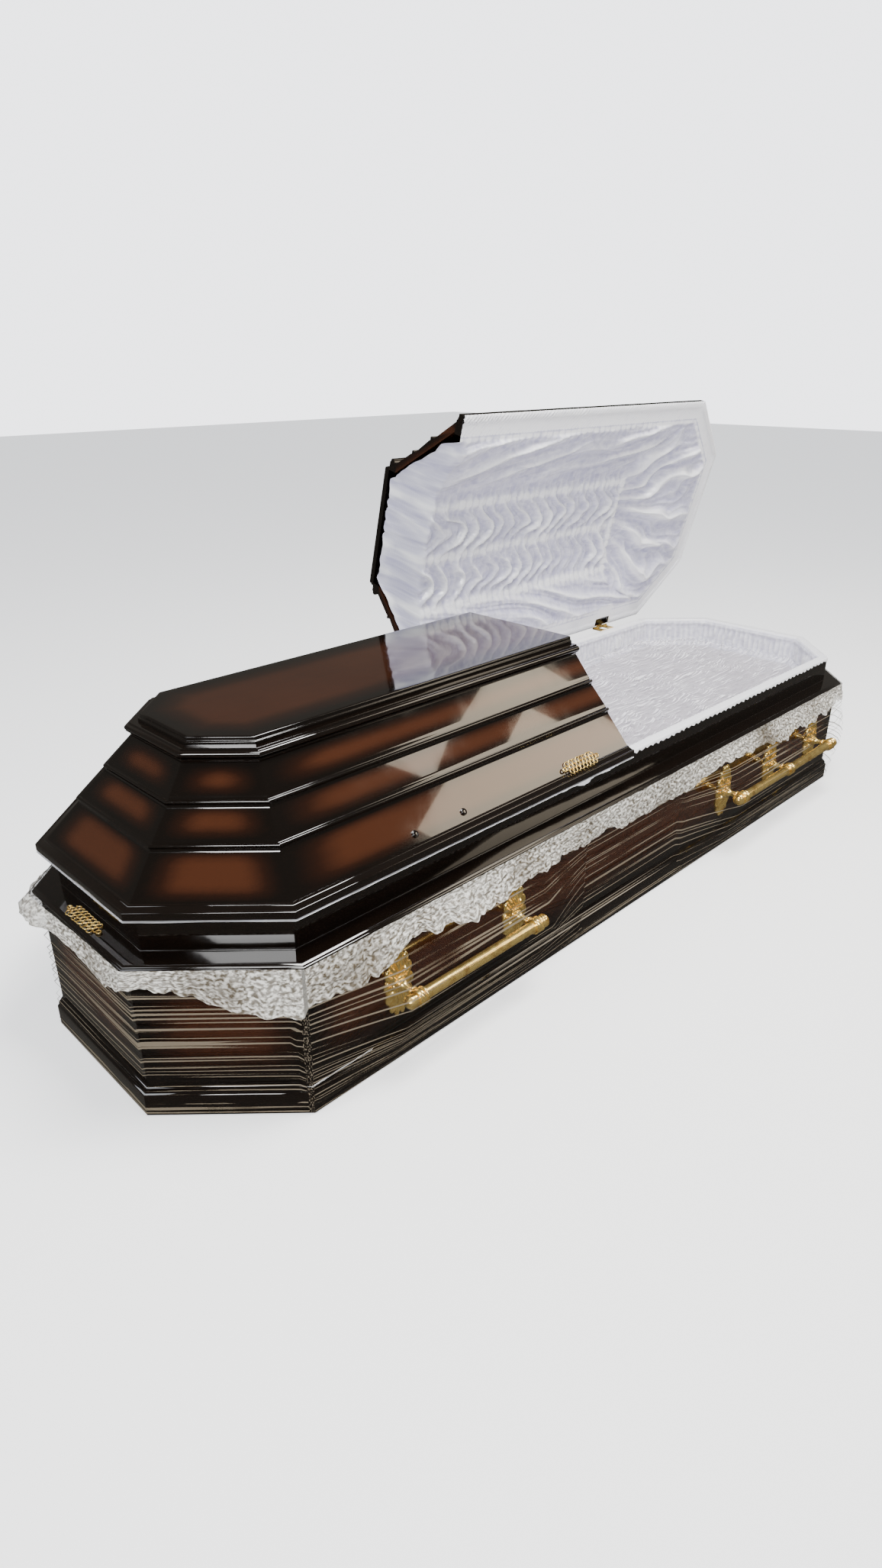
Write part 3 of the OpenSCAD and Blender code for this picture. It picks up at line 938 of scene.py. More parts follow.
@dataclass
class Base(Joinery):
    """Walls, plinth, ledge and inner frame."""

    wall_t: float = 0.018
    end_shade: float = 0.075
    edge_shade: float = 0.08
    burst: float = 0.75

    def build(self) -> None:
        """Makes the boards and the three mouldings."""
        names = ("near", "head_near", "head", "head_far", "far", "foot_far", "foot", "foot_near")
        for index, name in enumerate(names):
            self.wall(index, "wall_" + name)
        self.plinth()
        self.ledge()
        self.inner_frame()

    def wall(self, index: int, node: str) -> None:
        """One wall board with its sunburst: dark by the distance to its nearest edge."""
        f = self.frame
        outer, inner = f.wall_in, f.wall_in + self.wall_t
        face = np.stack([np.full(13, outer), np.linspace(f.wall_low, f.wall_top, 13)], -1)
        profile = np.concatenate([face, [(inner, f.wall_top), (inner, f.wall_low)]])
        run = carried(f.plan, (index, (index + 1) % 8), profile, step=0.02)
        rise = np.minimum(profile[:, 1] - f.plinth_top, f.wall_top - profile[:, 1])
        burst = smooth(self.end_shade, run.to_mitre) * smooth(self.edge_shade, rise)[None, :]
        self.board(node + "_board", node, run.points, burst * self.burst)

    def plinth(self) -> None:
        """The plinth strip: flat face, a small step, a cove and a fillet up to the wall."""
        f = self.frame
        top = f.plinth_top
        cove = arc((f.wall_in - 0.0095, top + 0.0005), 0.006, -85, -8, 6) + (0.0035, -0.001)
        profile = np.concatenate([
            eased(
                [(f.wall_in, 0), (0.0, 0.0), (0.0, top - 0.013), (0.0028, top - 0.011)],
                0.0016, False,
            ),
            [(0.0028, top - 0.0065)], cove, [(f.wall_in, top)],
        ])
        self.moulding("plinth_strip", "plinth", profile)

    def ledge(self) -> None:
        """The ledge board: a nosed rim edge in two steps and a tiny bead where the frame stands."""
        f = self.frame
        low, top = f.wall_top, f.ledge_top
        edge = eased([
            (f.frame_back, low), (0.0030, low), (0.0030, low + 0.0028), (0.0, low + 0.0036),
            (0.0, top - 0.0048), (0.0022, top - 0.0036), (0.0026, top - 0.0022), (0.0062, top),
            (f.frame_in - 0.003, top),
        ], 0.0009, False)
        bead = arc((f.frame_in - 0.0008, top), 0.0011, 180, 60, 6)
        profile = np.concatenate([edge, bead, [(f.frame_in + 0.002, top), (f.frame_back, top)]])
        self.moulding("ledge_board", "ledge", profile)

    def inner_frame(self) -> None:
        """The raised frame, its arrises softened."""
        f = self.frame
        profile = eased([
            (f.frame_in, f.ledge_top), (f.frame_in, f.frame_top),
            (f.frame_back, f.frame_top), (f.frame_back, f.ledge_top),
        ], 0.0016)
        self.moulding("inner_frame_boards", "inner_frame", profile)


# ---------------------------------------------------------------- the lids


@dataclass
class Lid(Joinery):
    """One half of the lid: bottom moulding, five plank sides, cornice and top panel."""

    half: Half = Half.FOOT
    course_run: tuple[float, float, float] = (0.054, 0.043, 0.036)
    course_rise: tuple[float, float, float] = (0.058, 0.047, 0.046)
    plank_t: float = 0.020
    apron_w: float = 0.017
    fascia_h: float = 0.013
    bead_r: float = 0.0027
    course_lift: float = 0.0036
    course_shade: float = 0.025
    long_shade: float = 0.12
    end_shade: float = 0.065
    inside_burst: float = 0.85
    panel_middle: float = 0.25
    panel_shade: float = 0.075
    panel_burst: float = 0.8

    @property
    def course_start(self) -> float:
        """Set-back of the planks' foot."""
        return self.frame.lid_in + self.apron_w

    def corners(self) -> Array:
        """The four (inset, height) points between which the three courses lie."""
        insets = self.course_start + np.concatenate([[0], np.cumsum(self.course_run)])
        heights = self.frame.apron_top + np.concatenate([[0], np.cumsum(self.course_rise)])
        return np.stack([insets, heights], -1)

    def build(self) -> None:
        """Makes every piece of this half."""
        prefix, stops = self.half.value, RUNS[self.half]
        self.moulding(
            prefix + "_bottom_moulding", prefix + "_moulding", self.bottom_profile(), self.half
        )
        self.moulding(
            prefix + "_cornice_strip", prefix + "_cornice", self.cornice_profile(), self.half
        )
        far_first = ("far", "corner_far", "end", "corner_near", "near")
        names = far_first if self.half is Half.FOOT else far_first[::-1]
        for name, span in zip(names, zip(stops[:-1], stops[1:])):
            self.side(f"{prefix}_{name}", span)
        self.top()

    def bottom_profile(self) -> Array:
        """Bottom moulding: a rounded front edge, a quirk, a sloping top and a fillet."""
        f = self.frame
        low, front = f.lid_low, f.lid_in
        fascia = low + self.fascia_h
        front_edge = eased([
            (f.frame_back, low), (front, low), (front, fascia - 0.0008), (front + 0.0030, fascia),
            (front + 0.0034, fascia - 0.0010), (front + 0.0048, fascia - 0.0008),
            (self.course_start - 0.0040, f.apron_top - 0.0016),
            (self.course_start - 0.0038, f.apron_top), (self.course_start + 0.004, f.apron_top),
        ], 0.0014, False)
        return np.concatenate([front_edge, [(f.frame_back, f.apron_top)]])

    def cornice_profile(self) -> Array:
        """Cornice: a cove under it, a fillet, a half-round nose and a small step on top."""
        f = self.frame
        foot = self.corners()[3]
        nose = 0.0052
        back = foot[0] + self.plank_t
        cove = arc((foot[0] - 0.0046, f.cornice_low + 0.0015), 0.0060, 20, 88, 6)
        cove += (-0.0006, 0.0006)
        round_nose = arc((f.cornice_in + nose, f.cornice_top - nose - 0.0026), nose, 262, 98, 12)
        return np.concatenate([
            [(foot[0] + 0.001, f.cornice_low)], cove, [(foot[0] - 0.0052, f.cornice_low + 0.0084)],
            round_nose, [(f.cornice_in + 0.0070, f.cornice_top - 0.0024)],
            [(f.cornice_in + 0.0078, f.cornice_top), (back, f.cornice_top), (back, f.cornice_low)],
        ])

    def course_face(self, k: int) -> tuple[Array, Array]:
        """One course seen in section: a cove and a bead at its foot, a quirk, and its flat face.

        In the course's own directions, t up the slope and n outward, the cove is a quarter circle
        from the lower course, and the bead a part circle over it.

        Args:
            k: Course number from the bottom.

        Returns:
            Its (inset, height) points, and each point's distance to the course's nearest edge.
        """
        corners = self.corners()
        start, end = corners[k], corners[k + 1]
        rise = float(np.linalg.norm(end - start))
        up = (end - start) / rise
        out = np.array([-up[1], up[0]])
        lift = self.course_lift
        flat_from = 0.0078 if k else 0.0
        flat = np.linspace(flat_from, rise - (0.0085 if k < 2 else 0.0), 9)
        level = lift * (1 - flat / rise) if k else np.zeros_like(flat)
        local = np.stack([flat, level], -1)
        if k:
            cove = arc((-0.0085, 0.0058), 0.0058, 270, 345, 6)
            foot_bead = arc((0.0, 0.0046), self.bead_r, 215, 20, 9)
            quirk = np.array([(0.0040, lift - 0.0006), (0.0056, lift - 0.0010)])
            local = np.concatenate([cove, foot_bead, quirk, local])
        inward = np.minimum(flat - flat_from, rise - flat)
        edge = np.concatenate([np.zeros(len(local) - len(flat)), inward])
        return start + local[:, :1] * up + local[:, 1:] * out, edge

    def side(self, node: str, span: tuple[int, int]) -> None:
        """One plank side with its three courses, each shaded dark towards its own edges."""
        f = self.frame
        faces = [self.course_face(k) for k in range(3)]
        foot = np.array([[self.course_start + self.plank_t, f.apron_top]])
        crown = self.corners()[3] + (self.plank_t, 0)
        profile = np.concatenate([p for p, _ in faces] + [crown[None], foot])
        edge = np.concatenate([e for _, e in faces] + [np.zeros(2)])
        run = carried(f.plan, span, profile, f.cut(self.half), step=0.015)
        long_side = NEAR_CUT in span or FAR_CUT in span
        fade = self.long_shade if long_side else self.end_shade
        shade = smooth(self.course_shade, edge)[None, :]
        burst = (0.10 + 0.90 * shade) * smooth(fade, self.mitre_distance(run, long_side))
        burst = burst * (edge > 0)[None, :]
        burst[:, -2:] = self.inside_burst
        self.board(node + "_planks", node, run.points, burst, self.half)

    def mitre_distance(self, run: Run, long_side: bool) -> Array:
        """Distance to the mitre alone on a long side, where the cut end isn't shaded."""
        if not long_side:
            return run.to_mitre
        at_cut = np.abs(run.points[..., 0] - self.frame.cut(self.half))
        return at_cut.max(axis=0, keepdims=True) - at_cut

    def top(self) -> None:
        """Top panel: a stepped edge carried round, a flat middle, and flat ends at the cut."""
        f, prefix = self.frame, self.half.value
        low, top, d = f.cornice_top, f.panel_top, f.panel_in
        edge = eased([
            (d, low), (d, low + 0.0052), (d + 0.0024, low + 0.0058), (d + 0.0030, low + 0.0074),
            (d + 0.0030, top - 0.0014), (d + 0.0052, top), (d + 0.012, top),
        ], 0.0010, False)
        flat = np.stack([np.linspace(d + 0.018, self.panel_middle, 9), np.full(9, top)], -1)
        profile = np.concatenate([edge, flat])
        run = carried(f.plan, RUNS[self.half], profile, f.cut(self.half), step=0.03)
        columns, rows = run.points.shape[:2]
        index = np.arange(columns * rows).reshape(columns, rows)
        cut_end = index[-1, :].tolist() + index[0, ::-1].tolist()
        shade = smooth(self.panel_shade, profile[:, 0] - d - 0.006)
        burst = np.broadcast_to(shade, (columns, rows)) * self.panel_burst
        self.board(
            prefix + "_top_panel", prefix + "_top", run.points, burst, self.half,
            caps=[index[:, -1].tolist(), index[::-1, 0].tolist(), cut_end],
        )


# ---------------------------------------------------------------- cloth


def shirring(s: Array, away: Array, period: float, width: float, seed: int) -> Array:
    """An elastic's gathers: narrow ruffles on the band and pleats that die away beside it.

    Each ruffle is the size of a sine along the band. Its strength falls off as
    exp(-(away / width)^2), and the pleats' as exp(-away / (3 width)).

    Args:
        s: Distance along the band.
        away: Distance from the band's middle.
        period: Spacing of the ruffles.
        width: Half-width of the band.
        seed: Number that picks the pattern.

    Returns:
        Heights for a band one unit high.
    """
    wander = s / period + 0.45 * noise(s / 0.03, away / 0.02, seed)
    ruffle = 0.45 + 0.55 * np.abs(np.sin(math.pi * wander))
    tall = 0.8 + 0.35 * noise(s / 0.014, 0 * s, seed + 3)
    band = np.exp(-((away / width) ** 2)) * ruffle * tall
    pleat = np.exp(-np.abs(away) / (3 * width)) * (ridges(wander * 0.5, 1.6) - 0.3)
    return band + 0.42 * pleat


def folds(phase: Array, s: Array, v: Array, seed: int) -> Array:
    """Soft folds: sharp-backed crests at whole phases, of uneven height, with a finer set between.

    Args:
        phase: Field whose whole values are the folds' backs.
        s: Distance along.
        v: Distance across.
        seed: Number that picks the pattern.

    Returns:
        Heights of about 0 to 1.
    """
    bent = phase + 0.55 * rough(s / 0.11, v / 0.08, seed)
    strength = 0.65 + 0.45 * noise(s / 0.07, v / 0.10, seed + 5)
    fine = ridges(bent * 2.3 + 0.8 * noise(s / 0.05, v / 0.04, seed + 9), 1.3)
    return ridges(bent, 1.5) * strength + 0.22 * fine


@dataclass
class Linings:
    """The satin: the skirt in the base, and a tray in each lid."""

    frame: Frame
    finishes: Finishes
    lap: float = 0.0117
    over_frame: float = 0.0212
    skirt_fold: float = 0.0120
    skirt_shirr: float = 0.0055
    ruffle_pitch: float = 0.0085
    frill: float = 0.0010
    rim_width: float = 0.0585
    level_width: float = 0.058
    rise: float = 0.055
    crown: float = 0.010
    long_reach: float = 0.142
    end_reach: float = 0.290
    slant_reach: float = 0.235
    plank_slope: float = 1.135
    hem: float = 0.045
    lane: float = 0.120
    lane_start: float = -0.090
    band_pitch: float = 0.0108
    leaf_gap: float = 0.0015

    def build(self) -> None:
        """Makes every lining."""
        self.skirt()
        self.tray(Half.HEAD, 0.0026, True)
        self.tray(Half.FOOT, 0.010, False)

    def cloth(
        self, name: str, points: Array, uv: tuple[Array, Array], held: str,
        rests: Sequence[str], body: Body, nodes: tuple[str, ...], closed: bool = False,
        material: Material | None = None, slot: Slot = Slot.SATIN,
        **fields: Array | float,
    ) -> None:
        """Builds a sheet.

        Args:
            name: Name of the piece.
            points: Grid of finished points.
            uv: Distance along and across of each point.
            held: How it is held; not used.
            rests: Names of what it rests on; not used.
            body: What it rides on.
            nodes: CAD nodes that it stands for.
            closed: Whether its columns join up.
            material: Its finish, or none for the satin.
            slot: Its material slot.
            **fields: From 0 to 1 at each point: how thickly the film's strands lie (cover), or how
                      far
                up a fold of satin it is (relief), which sets the satin's painted shade and light.
        """
        columns, rows = points.shape[:2]
        made = Piece(
            name, points, quads(columns, rows, wrap_columns=closed),
            material or self.finishes.satin, slot, body, nodes, uv=np.stack(uv, -1), sharp_deg=180,
            solid=False,
            attributes={key: np.broadcast_to(f, (columns, rows)) for key, f in fields.items()},
        ).build()

    def skirt(self) -> None:
        """Base lining: lapped over the frame, shirred under its top, gathered to the bedding.

        Its profile runs up the frame's front, over its top and down its back. Folds and shirring
        raise it inward below the frame's top; the lap's lower edge is ragged.
        """
        f = self.frame
        top = f.frame_top + 0.0012
        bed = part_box("bedding")[1].z
        profile = resampled(np.array([
            (f.frame_in - 0.0012, f.frame_top - 0.0105), (f.frame_in - 0.0012, top),
            (f.frame_back + 0.0016, top), (f.frame_back + 0.0026, bed + 0.010),
            (f.frame_back + 0.022, bed - 0.0080),
        ]), 0.0028)
        run = carried(f.plan, ALL_ROUND, profile, step=0.0052, closed=True)
        rows = distances(profile)
        s, v = np.meshgrid(run.along, rows, indexing="ij")
        over = self.lap + self.over_frame
        depth = v - over
        fall = folds(s / 0.0165 + 0.15 * np.sin(depth / 0.02), s, depth, 11) * smooth(0.03, depth)
        shirr = shirring(s, depth - 0.009, self.ruffle_pitch, 0.0045, 23)
        foot = smooth(0.012, rows[-1] - v)
        height = smooth(0.006, depth) * (
            self.skirt_fold * fall * foot + self.skirt_shirr * shirr * (depth > 0)
        )
        points = run.points + self.toward_axis(run.points) * height[..., None]
        on_top = (v > rows[np.searchsorted(rows, self.lap)]) & (v <= over)
        points[..., 2] += on_top * 0.0007 * np.sin(2 * math.pi * s / self.ruffle_pitch)
        hanging = np.clip(1 - v / self.lap, 0, 1)
        points[..., 2] += hanging * self.ragged(run.points, s)
        wave = 1 + np.sin(2 * math.pi * s / 0.011 + 2 * noise(s / 0.02, 0 * s, 41))
        points[..., 1] += np.sign(run.points[..., 1]) * hanging * (self.frill * wave)
        self.cloth(
            "base_satin", points, (s, v), "gathered", ["inner_frame_boards"], Body.BASE,
            ("base_lining",), closed=True, material=self.finishes.skirt,
            # relief paints shade into the skirt's fold hollows and light on their crests, and keeps
            # the lap and the frame's top nearly light.
            relief=np.where(depth > 0.002, np.clip(height / 0.0105, 0, 1) ** 1.5, 0.9),
        )

    @staticmethod
    def toward_axis(points: Array) -> Array:
        """Facing of the skirt: up where it lies level, and where upright at the long axis."""
        facing = normals_of(points)
        first = max(2, points.shape[1] // 12)
        facing = facing * (1 if facing[:, :first, 2].mean() > 0 else -1)
        middle = points.mean(axis=(0, 1))
        reach = np.clip(points[..., 0] - middle[0], -0.6, 0.6) + middle[0]
        aim = np.stack([reach - points[..., 0], -points[..., 1], 0 * reach], -1)
        upright = np.abs(facing[..., 2:]) < 0.7
        sign = np.sign((facing * aim).sum(-1, keepdims=True))
        return facing * np.where(upright, np.where(sign == 0, 1, sign), 1)

    def ragged(self, points: Array, s: Array) -> Array:
        """How far the lap's edge rises or falls: torn on the near side, in points by the head."""
        near = (points[..., 1] < 0).astype(float)
        head = (points[..., 0] > self.frame.foot_x).astype(float)
        teeth = 0.0055 * np.abs(2 * ((s / 0.019) % 1) - 1)
        torn = 0.0060 * rough(s / 0.030, 0 * s, 7)
        shown = np.exp(-(((points[..., 0] + 0.16) / 0.16) ** 2)) * near
        foot = 0.0085 - shown * 0.0150 + torn * (0.25 + shown)
        return head * near * (teeth + 0.3 * torn + 0.002) + (1 - head) * foot

    def tray(self, half: Half, step: float, fine: bool) -> None:
        """A lid's lining: level under the moulding, then a shallow tray with shirred lanes.

        With d the distance in from a face of the plan, the tray's rise goes as 3t^2 - 2t^3, where
        t is the least over the faces of (d - level width) / reach, and a low crown is added along
        the middle. Beside the cut it turns up towards the planks.

        Args:
            half: Which lid.
            step: Spacing of the grid.
            fine: Whether every ruffle is drawn, as the open lid's are.
        """
        f, plan = self.frame, self.frame.plan
        edge = f.lid_in - 0.0008
        end = plan.length / 2 - edge
        start, stop = (f.head_x, end) if half is Half.HEAD else (-end, f.foot_x)
        counts = (math.ceil(r / step) + 1 for r in (stop - start, 2 * (plan.width / 2 - edge)))
        x, y, _ = lanes(plan, edge, (start, stop), *counts)
        gaps = [c - n[0] * x - n[1] * y for n, c in plan.faces()]
        d = np.min(gaps, axis=0)
        long_d, end_d = np.minimum(gaps[0], gaps[4]), np.minimum(gaps[2], gaps[6])
        slant_d = np.min(gaps[1::2], axis=0)
        reach = np.stack([
            (long_d - self.level_width) / self.long_reach,
            (end_d - self.level_width) / self.end_reach,
            (slant_d - self.level_width) / self.slant_reach,
        ])
        t = np.clip(reach.min(axis=0), 0, 1)
        cut = np.abs(x - f.cut(half))
        rise = self.rise * smooth(1.0, t) + self.crown * smooth(1.0, t) * np.cos(math.pi * y / 0.30)
        plank = f.apron_top - 0.004 + (long_d - 0.0545) * self.plank_slope
        plank = np.minimum(f.cornice_top - 0.006, plank)
        turn_up = np.clip(plank - f.lid_low - rise, 0, None) * smooth(0.03, long_d - 0.060)
        rise += turn_up * (1 - smooth(0.026, cut)) ** 1.6
        height = self.tray_folds(x, y, t, reach, cut)
        # relief paints the satin's shade: darker in the folds' hollows, lighter on their crests;
        # the shirred bands add theirs.
        relief = np.clip(height / 0.0190, 0, 1) ** 1.4
        if fine:
            bands = self.tray_bands(x, y, d, end_d)
            height += bands
            relief += np.clip(bands / 0.0062, 0, 1)
        pull = self.hinge_pull(x, y, plan.half_width(x, edge)) * (half is Half.HEAD)
        outer = smooth(0.003, f.frame_in - 0.0060 - d - pull) * smooth(0.004, d - edge)
        wave = math.pi * (x + y) / 0.0105 + 1.2 * noise(x / 0.03, y / 0.03, 81)
        ruffle = np.abs(np.sin(wave))
        at_rim = d < self.rim_width
        rim = np.where(at_rim, (0.0009 + 0.0030 * outer) * ruffle, 0)
        z = f.lid_low - 0.0016 + rise - height - rim
        least = f.lid_low - 0.0024 - 0.0030 * outer
        z = np.where(at_rim, np.clip(z, least, f.lid_low - 0.0003), z)
        inward = smooth(0.010, d - f.frame_back - 0.012)
        z = np.maximum(z, f.lid_low - 0.0024 - 0.012 * inward - 0.0030 * outer)
        name = half.value
        self.cloth(
            name + "_satin", f.placed(np.stack([x, y - pull, z], -1), half), (x, y - pull),
            "gathered", [name + "_top_panel"], half.body, (name + "_lining",),
            # On the rim the ruffles' crests are painted light and their troughs painted shade.
            relief=np.clip(np.where(at_rim, 0.3 + 0.7 * ruffle, relief), 0, 1),
        )

    def hinge_pull(self, x: Array, y: Array, half_width: Array) -> Array:
        """How far the far edge is drawn in beside each hinge, so that it clears the fixed leaf.

        Args:
            x: Place along.
            y: Place across.
            half_width: Half the cloth's width at each x.

        Returns:
            Distances inward, which start 50 mm in from the leaf and are whole at its edge.
        """
        pull = np.zeros_like(x)
        for node in ("hinge_foot_base_leaf", "hinge_head_base_leaf"):
            low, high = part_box(node)
            beside = np.abs(x - (low.x + high.x) / 2) - (high.x - low.x) / 2
            needed = np.clip(half_width - low.y + self.leaf_gap, 0, None)
            pull += smooth(0.004, 0.0045 - beside) * smooth(0.05, y - low.y + 0.050) * needed
        return pull

    def tray_folds(
        self, x: Array, y: Array, t: Array, reach: Array, cut: Array
    ) -> Array:
        """The tray's loose folds: swirls across the lanes, slants on the sides, fans at the end.

        Args:
            x: Place along.
            y: Place across.
            t: How far up the tray's slope each point is, from 0 to 1.
            reach: The same for the long sides, the end and the slants, not cut off at 1.
            cut: Distance from the lid's cut.

        Returns:
            Heights into the hollow.
        """
        top = smooth(0.03, y + 0.115) * smooth(0.03, 0.175 - y) * smooth(0.12, reach[1] - 0.96)
        lane = ((y - self.lane_start) / self.lane) % 1
        swirl = 0.024 * np.sin(2 * math.pi * y / self.lane) + 0.020 * rough(x / 0.12, y / 0.08, 61)
        crossing = folds((x + swirl) / 0.046, x, y, 63) * np.sin(math.pi * lane) ** 0.6
        slant = (y + 0.24 * x * np.sign(-y)) / 0.048 + 0.5 * noise(x / 0.30, y / 0.10, 65)
        along = folds(slant, x / 3, y, 67)
        bearing = np.arctan2(y, np.abs(x) - 0.56) / (2 * math.pi)
        fan = folds(bearing * 24 + 0.5 * noise(x / 0.09, y / 0.09, 69), x * 0.7, y * 0.7, 71)
        end = smooth(0.25, 1.15 - reach[1]) * (reach[1] < reach[0] + 0.45)
        side = np.sin(math.pi * np.clip(t, 0, 1)) ** 0.5
        height = 0.0210 * crossing * top
        height += (1 - top) * side * (0.0200 * along * (1 - end) + 0.0240 * fan * end)
        hem = (1 - smooth(self.hem, cut)) * smooth(0.3, t)
        gathers = ridges(cut / 0.014 + 0.5 * noise(y / 0.05, x * 0, 83), 1.4)
        return height * (1 - 0.6 * hem) + 0.0050 * hem * gathers

    def tray_bands(
        self, x: Array, y: Array, d: Array, end_d: Array
    ) -> Array:
        """The tray's shirred bands: one beside each lane, one at its end, one inside the rim.

        Args:
            x: Place along.
            y: Place across.
            d: Distance in from the nearest face of the plan.
            end_d: Distance in from the end.

        Returns:
            Heights into the hollow.
        """
        pitch = self.band_pitch
        on_top = smooth(0.03, end_d - 0.335)
        height = np.zeros_like(x)
        for number in range(3):
            away = y - (self.lane_start + number * self.lane)
            height += 0.0068 * shirring(x, away, pitch, 0.0100, 73 + 2 * number) * on_top
        across = smooth(0.02, y + 0.11) * smooth(0.02, 0.17 - y)
        height += 0.0075 * shirring(y, end_d - 0.348, pitch, 0.0090, 79) * across
        round_it = np.where(np.abs(y) > np.abs(x) * 0.35, x, y)
        inner = shirring(round_it, d - 0.066, pitch, 0.0070, 85)
        return height + 0.0060 * inner * smooth(0.006, d - 0.059)


@dataclass
class Bedding:
    """The padded bedding, and the wrinkled film laid over its head end."""

    frame: Frame
    finishes: Finishes
    cloths: Linings
    low: float = 0.190
    crown: float = 0.006
    voxel: float = 0.010
    pressure: float = 4.0
    steps: int = 20
    creep: float = 0.0035
    film_start: float = -0.30
    crease: float = 0.0090
    small_crease: float = 0.0030

    def build(self) -> None:
        """Makes the pad and the film on it."""
        self.pad()
        self.film()

    def pad(self) -> None:
        """A crowned pad that air pressure fills, its movement held to a few millimetres."""
        f = self.frame
        inset = f.frame_back + 0.0060
        end = f.plan.length / 2 - inset
        x, y, lane = lanes(f.plan, inset, (-end, end), 160, 40)
        crown = self.crown * (1 - np.abs(lane) ** 6) * smooth(0.04, end - np.abs(x))
        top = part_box("bedding")[1].z - 0.0062 + crown
        upper, lower = (np.stack([x, y, z], -1).reshape(-1, 3) for z in (top, 0 * x + self.low))
        columns, rows = x.shape
        index = np.arange(columns * rows).reshape(columns, rows)
        loop = [index[:, 0], index[-1, 1:], index[-2::-1, -1], index[0, -2:0:-1]]
        loop = np.concatenate(loop)
        after, under = np.roll(loop, -1), columns * rows
        skirt = np.stack([loop, after, after + under, loop + under], -1)
        grid = quads(columns, rows)
        made = Piece(
            "bedding_pad", np.concatenate([upper, lower]),
            np.concatenate([grid, grid[:, ::-1] + under, skirt]), self.finishes.bedding,
            Slot.BEDDING, Body.BASE, ("bedding",), sharp_deg=180,
        ).build()
        self.filled(made)
        self.mapped(made)

    def filled(self, made: Object) -> None:
        """Remeshes the pad, lets air pressure fill it, and caps how far each point moved."""
        scene = bpy.context.scene
        remesh = made.modifiers.new("even", "REMESH")
        remesh.mode, remesh.voxel_size, remesh.use_smooth_shade = "VOXEL", self.voxel, True
        self.applied(made)
        start = self.coordinates(made.data)
        puff = made.modifiers.new("puff", "CLOTH")
        puff.settings.quality = 4
        puff.settings.mass = 0.3
        puff.settings.use_pressure = True
        puff.settings.uniform_pressure_force = self.pressure
        puff.settings.effector_weights.gravity = 0.0
        puff.point_cache.frame_start, puff.point_cache.frame_end = 1, self.steps
        for number in range(1, self.steps + 1):
            scene.frame_set(number)
        self.applied(made)
        scene.frame_set(1)
        moved = self.coordinates(made.data) - start
        reach = np.linalg.norm(moved, axis=1, keepdims=True)
        moved *= np.minimum(1.0, self.creep / np.maximum(reach, 1e-9))
        made.data.vertices.foreach_set("co", (start + moved).astype(np.float32).ravel())
        finer = made.modifiers.new("finer", "SUBSURF")
        finer.levels = finer.render_levels = 1
        self.applied(made)

    @staticmethod
    def coordinates(mesh: Mesh) -> Array:
        """The mesh's points."""
        co = np.zeros(len(mesh.vertices) * 3, np.float32)
        mesh.vertices.foreach_get("co", co)
        return co.reshape(-1, 3).astype(float)

    @staticmethod
    def applied(made: Object) -> None:
        """Puts the evaluated shape in place of the mesh and clears the modifiers."""
        graph = bpy.context.evaluated_depsgraph_get()
        graph.update()
        mesh = bpy.data.meshes.new_from_object(made.evaluated_get(graph), depsgraph=graph)
        mesh.transform(made.matrix_world)
        made.modifiers.clear()
        old, made.data = made.data, mesh
        bpy.data.meshes.remove(old)

    def mapped(self, made: Object) -> None:
        """Gives the pad cloth coordinates from above, soft dips, and smooth shading."""
        mesh = made.data
        co = self.coordinates(mesh)
        dip = 0.0024 * rough(co[:, 0] / 0.09, co[:, 1] / 0.07, 91)
        co[:, 2] += np.where(co[:, 2] > self.low + 0.04, dip, 0) - 0.0010
        mesh.vertices.foreach_set("co", co.astype(np.float32).ravel())
        lay_uv(mesh, co[:, :2])
        mesh.polygons.foreach_set("use_smooth", np.ones(len(mesh.polygons), bool))
        mesh.update()

    def film(self) -> None:
        """Wrinkled film: sharp creases on three slants, and stars of creases round three spots.

        A star's crest is where n times the bearing from its middle is a whole turn; it fades with
        distance r as exp(-r / 0.10).
        """
        f = self.frame
        inset = f.frame_back + 0.0085
        span = (self.film_start, f.plan.length / 2 - inset)
        x, y, _ = lanes(f.plan, inset, span, 330, 150)
        height = np.zeros_like(x)
        for slant, spacing, seed in ((0.75, 0.085, 101), (-0.55, 0.120, 103), (1.35, 0.060, 105)):
            across = x * math.sin(slant) - y * math.cos(slant)
            phase = across / spacing + 0.9 * rough(x / 0.20, y / 0.16, seed)
            patch = smooth(0.6, noise(x / 0.13, y / 0.10, seed + 1) + 0.35)
            height = np.maximum(height, ridges(phase, 5.0) * patch)
        for cx, cy, turns in ((0.18, -0.10, 9), (0.52, 0.06, 11), (0.78, -0.05, 8)):
            r = np.hypot(x - cx, y - cy)
            bearing = np.arctan2(y - cy, x - cx) / (2 * math.pi)
            star = ridges(turns * bearing + 0.25 * noise(r / 0.03, bearing * 5, turns), 4.0)
            height = np.maximum(height, star * np.exp(-r / 0.10) * smooth(0.012, r))
        small = ridges(x / 0.03 + 1.4 * rough(x / 0.06, y / 0.05, 111), 3.0) * 0.25
        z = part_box("bedding")[1].z + 0.0042 + self.crease * height + self.small_crease * small
        self.cloths.cloth(
            "bedding_film", np.stack([x, y, z], -1), (x, y), "laid", ["bedding_pad"], Body.BASE, (),
            material=self.finishes.cover, slot=Slot.FILM,
            # cover rises with the creases' height, so more pale strands lie on their crests.
            cover=np.clip(0.30 + 0.8 * height + 0.5 * small, 0, 1),
        )


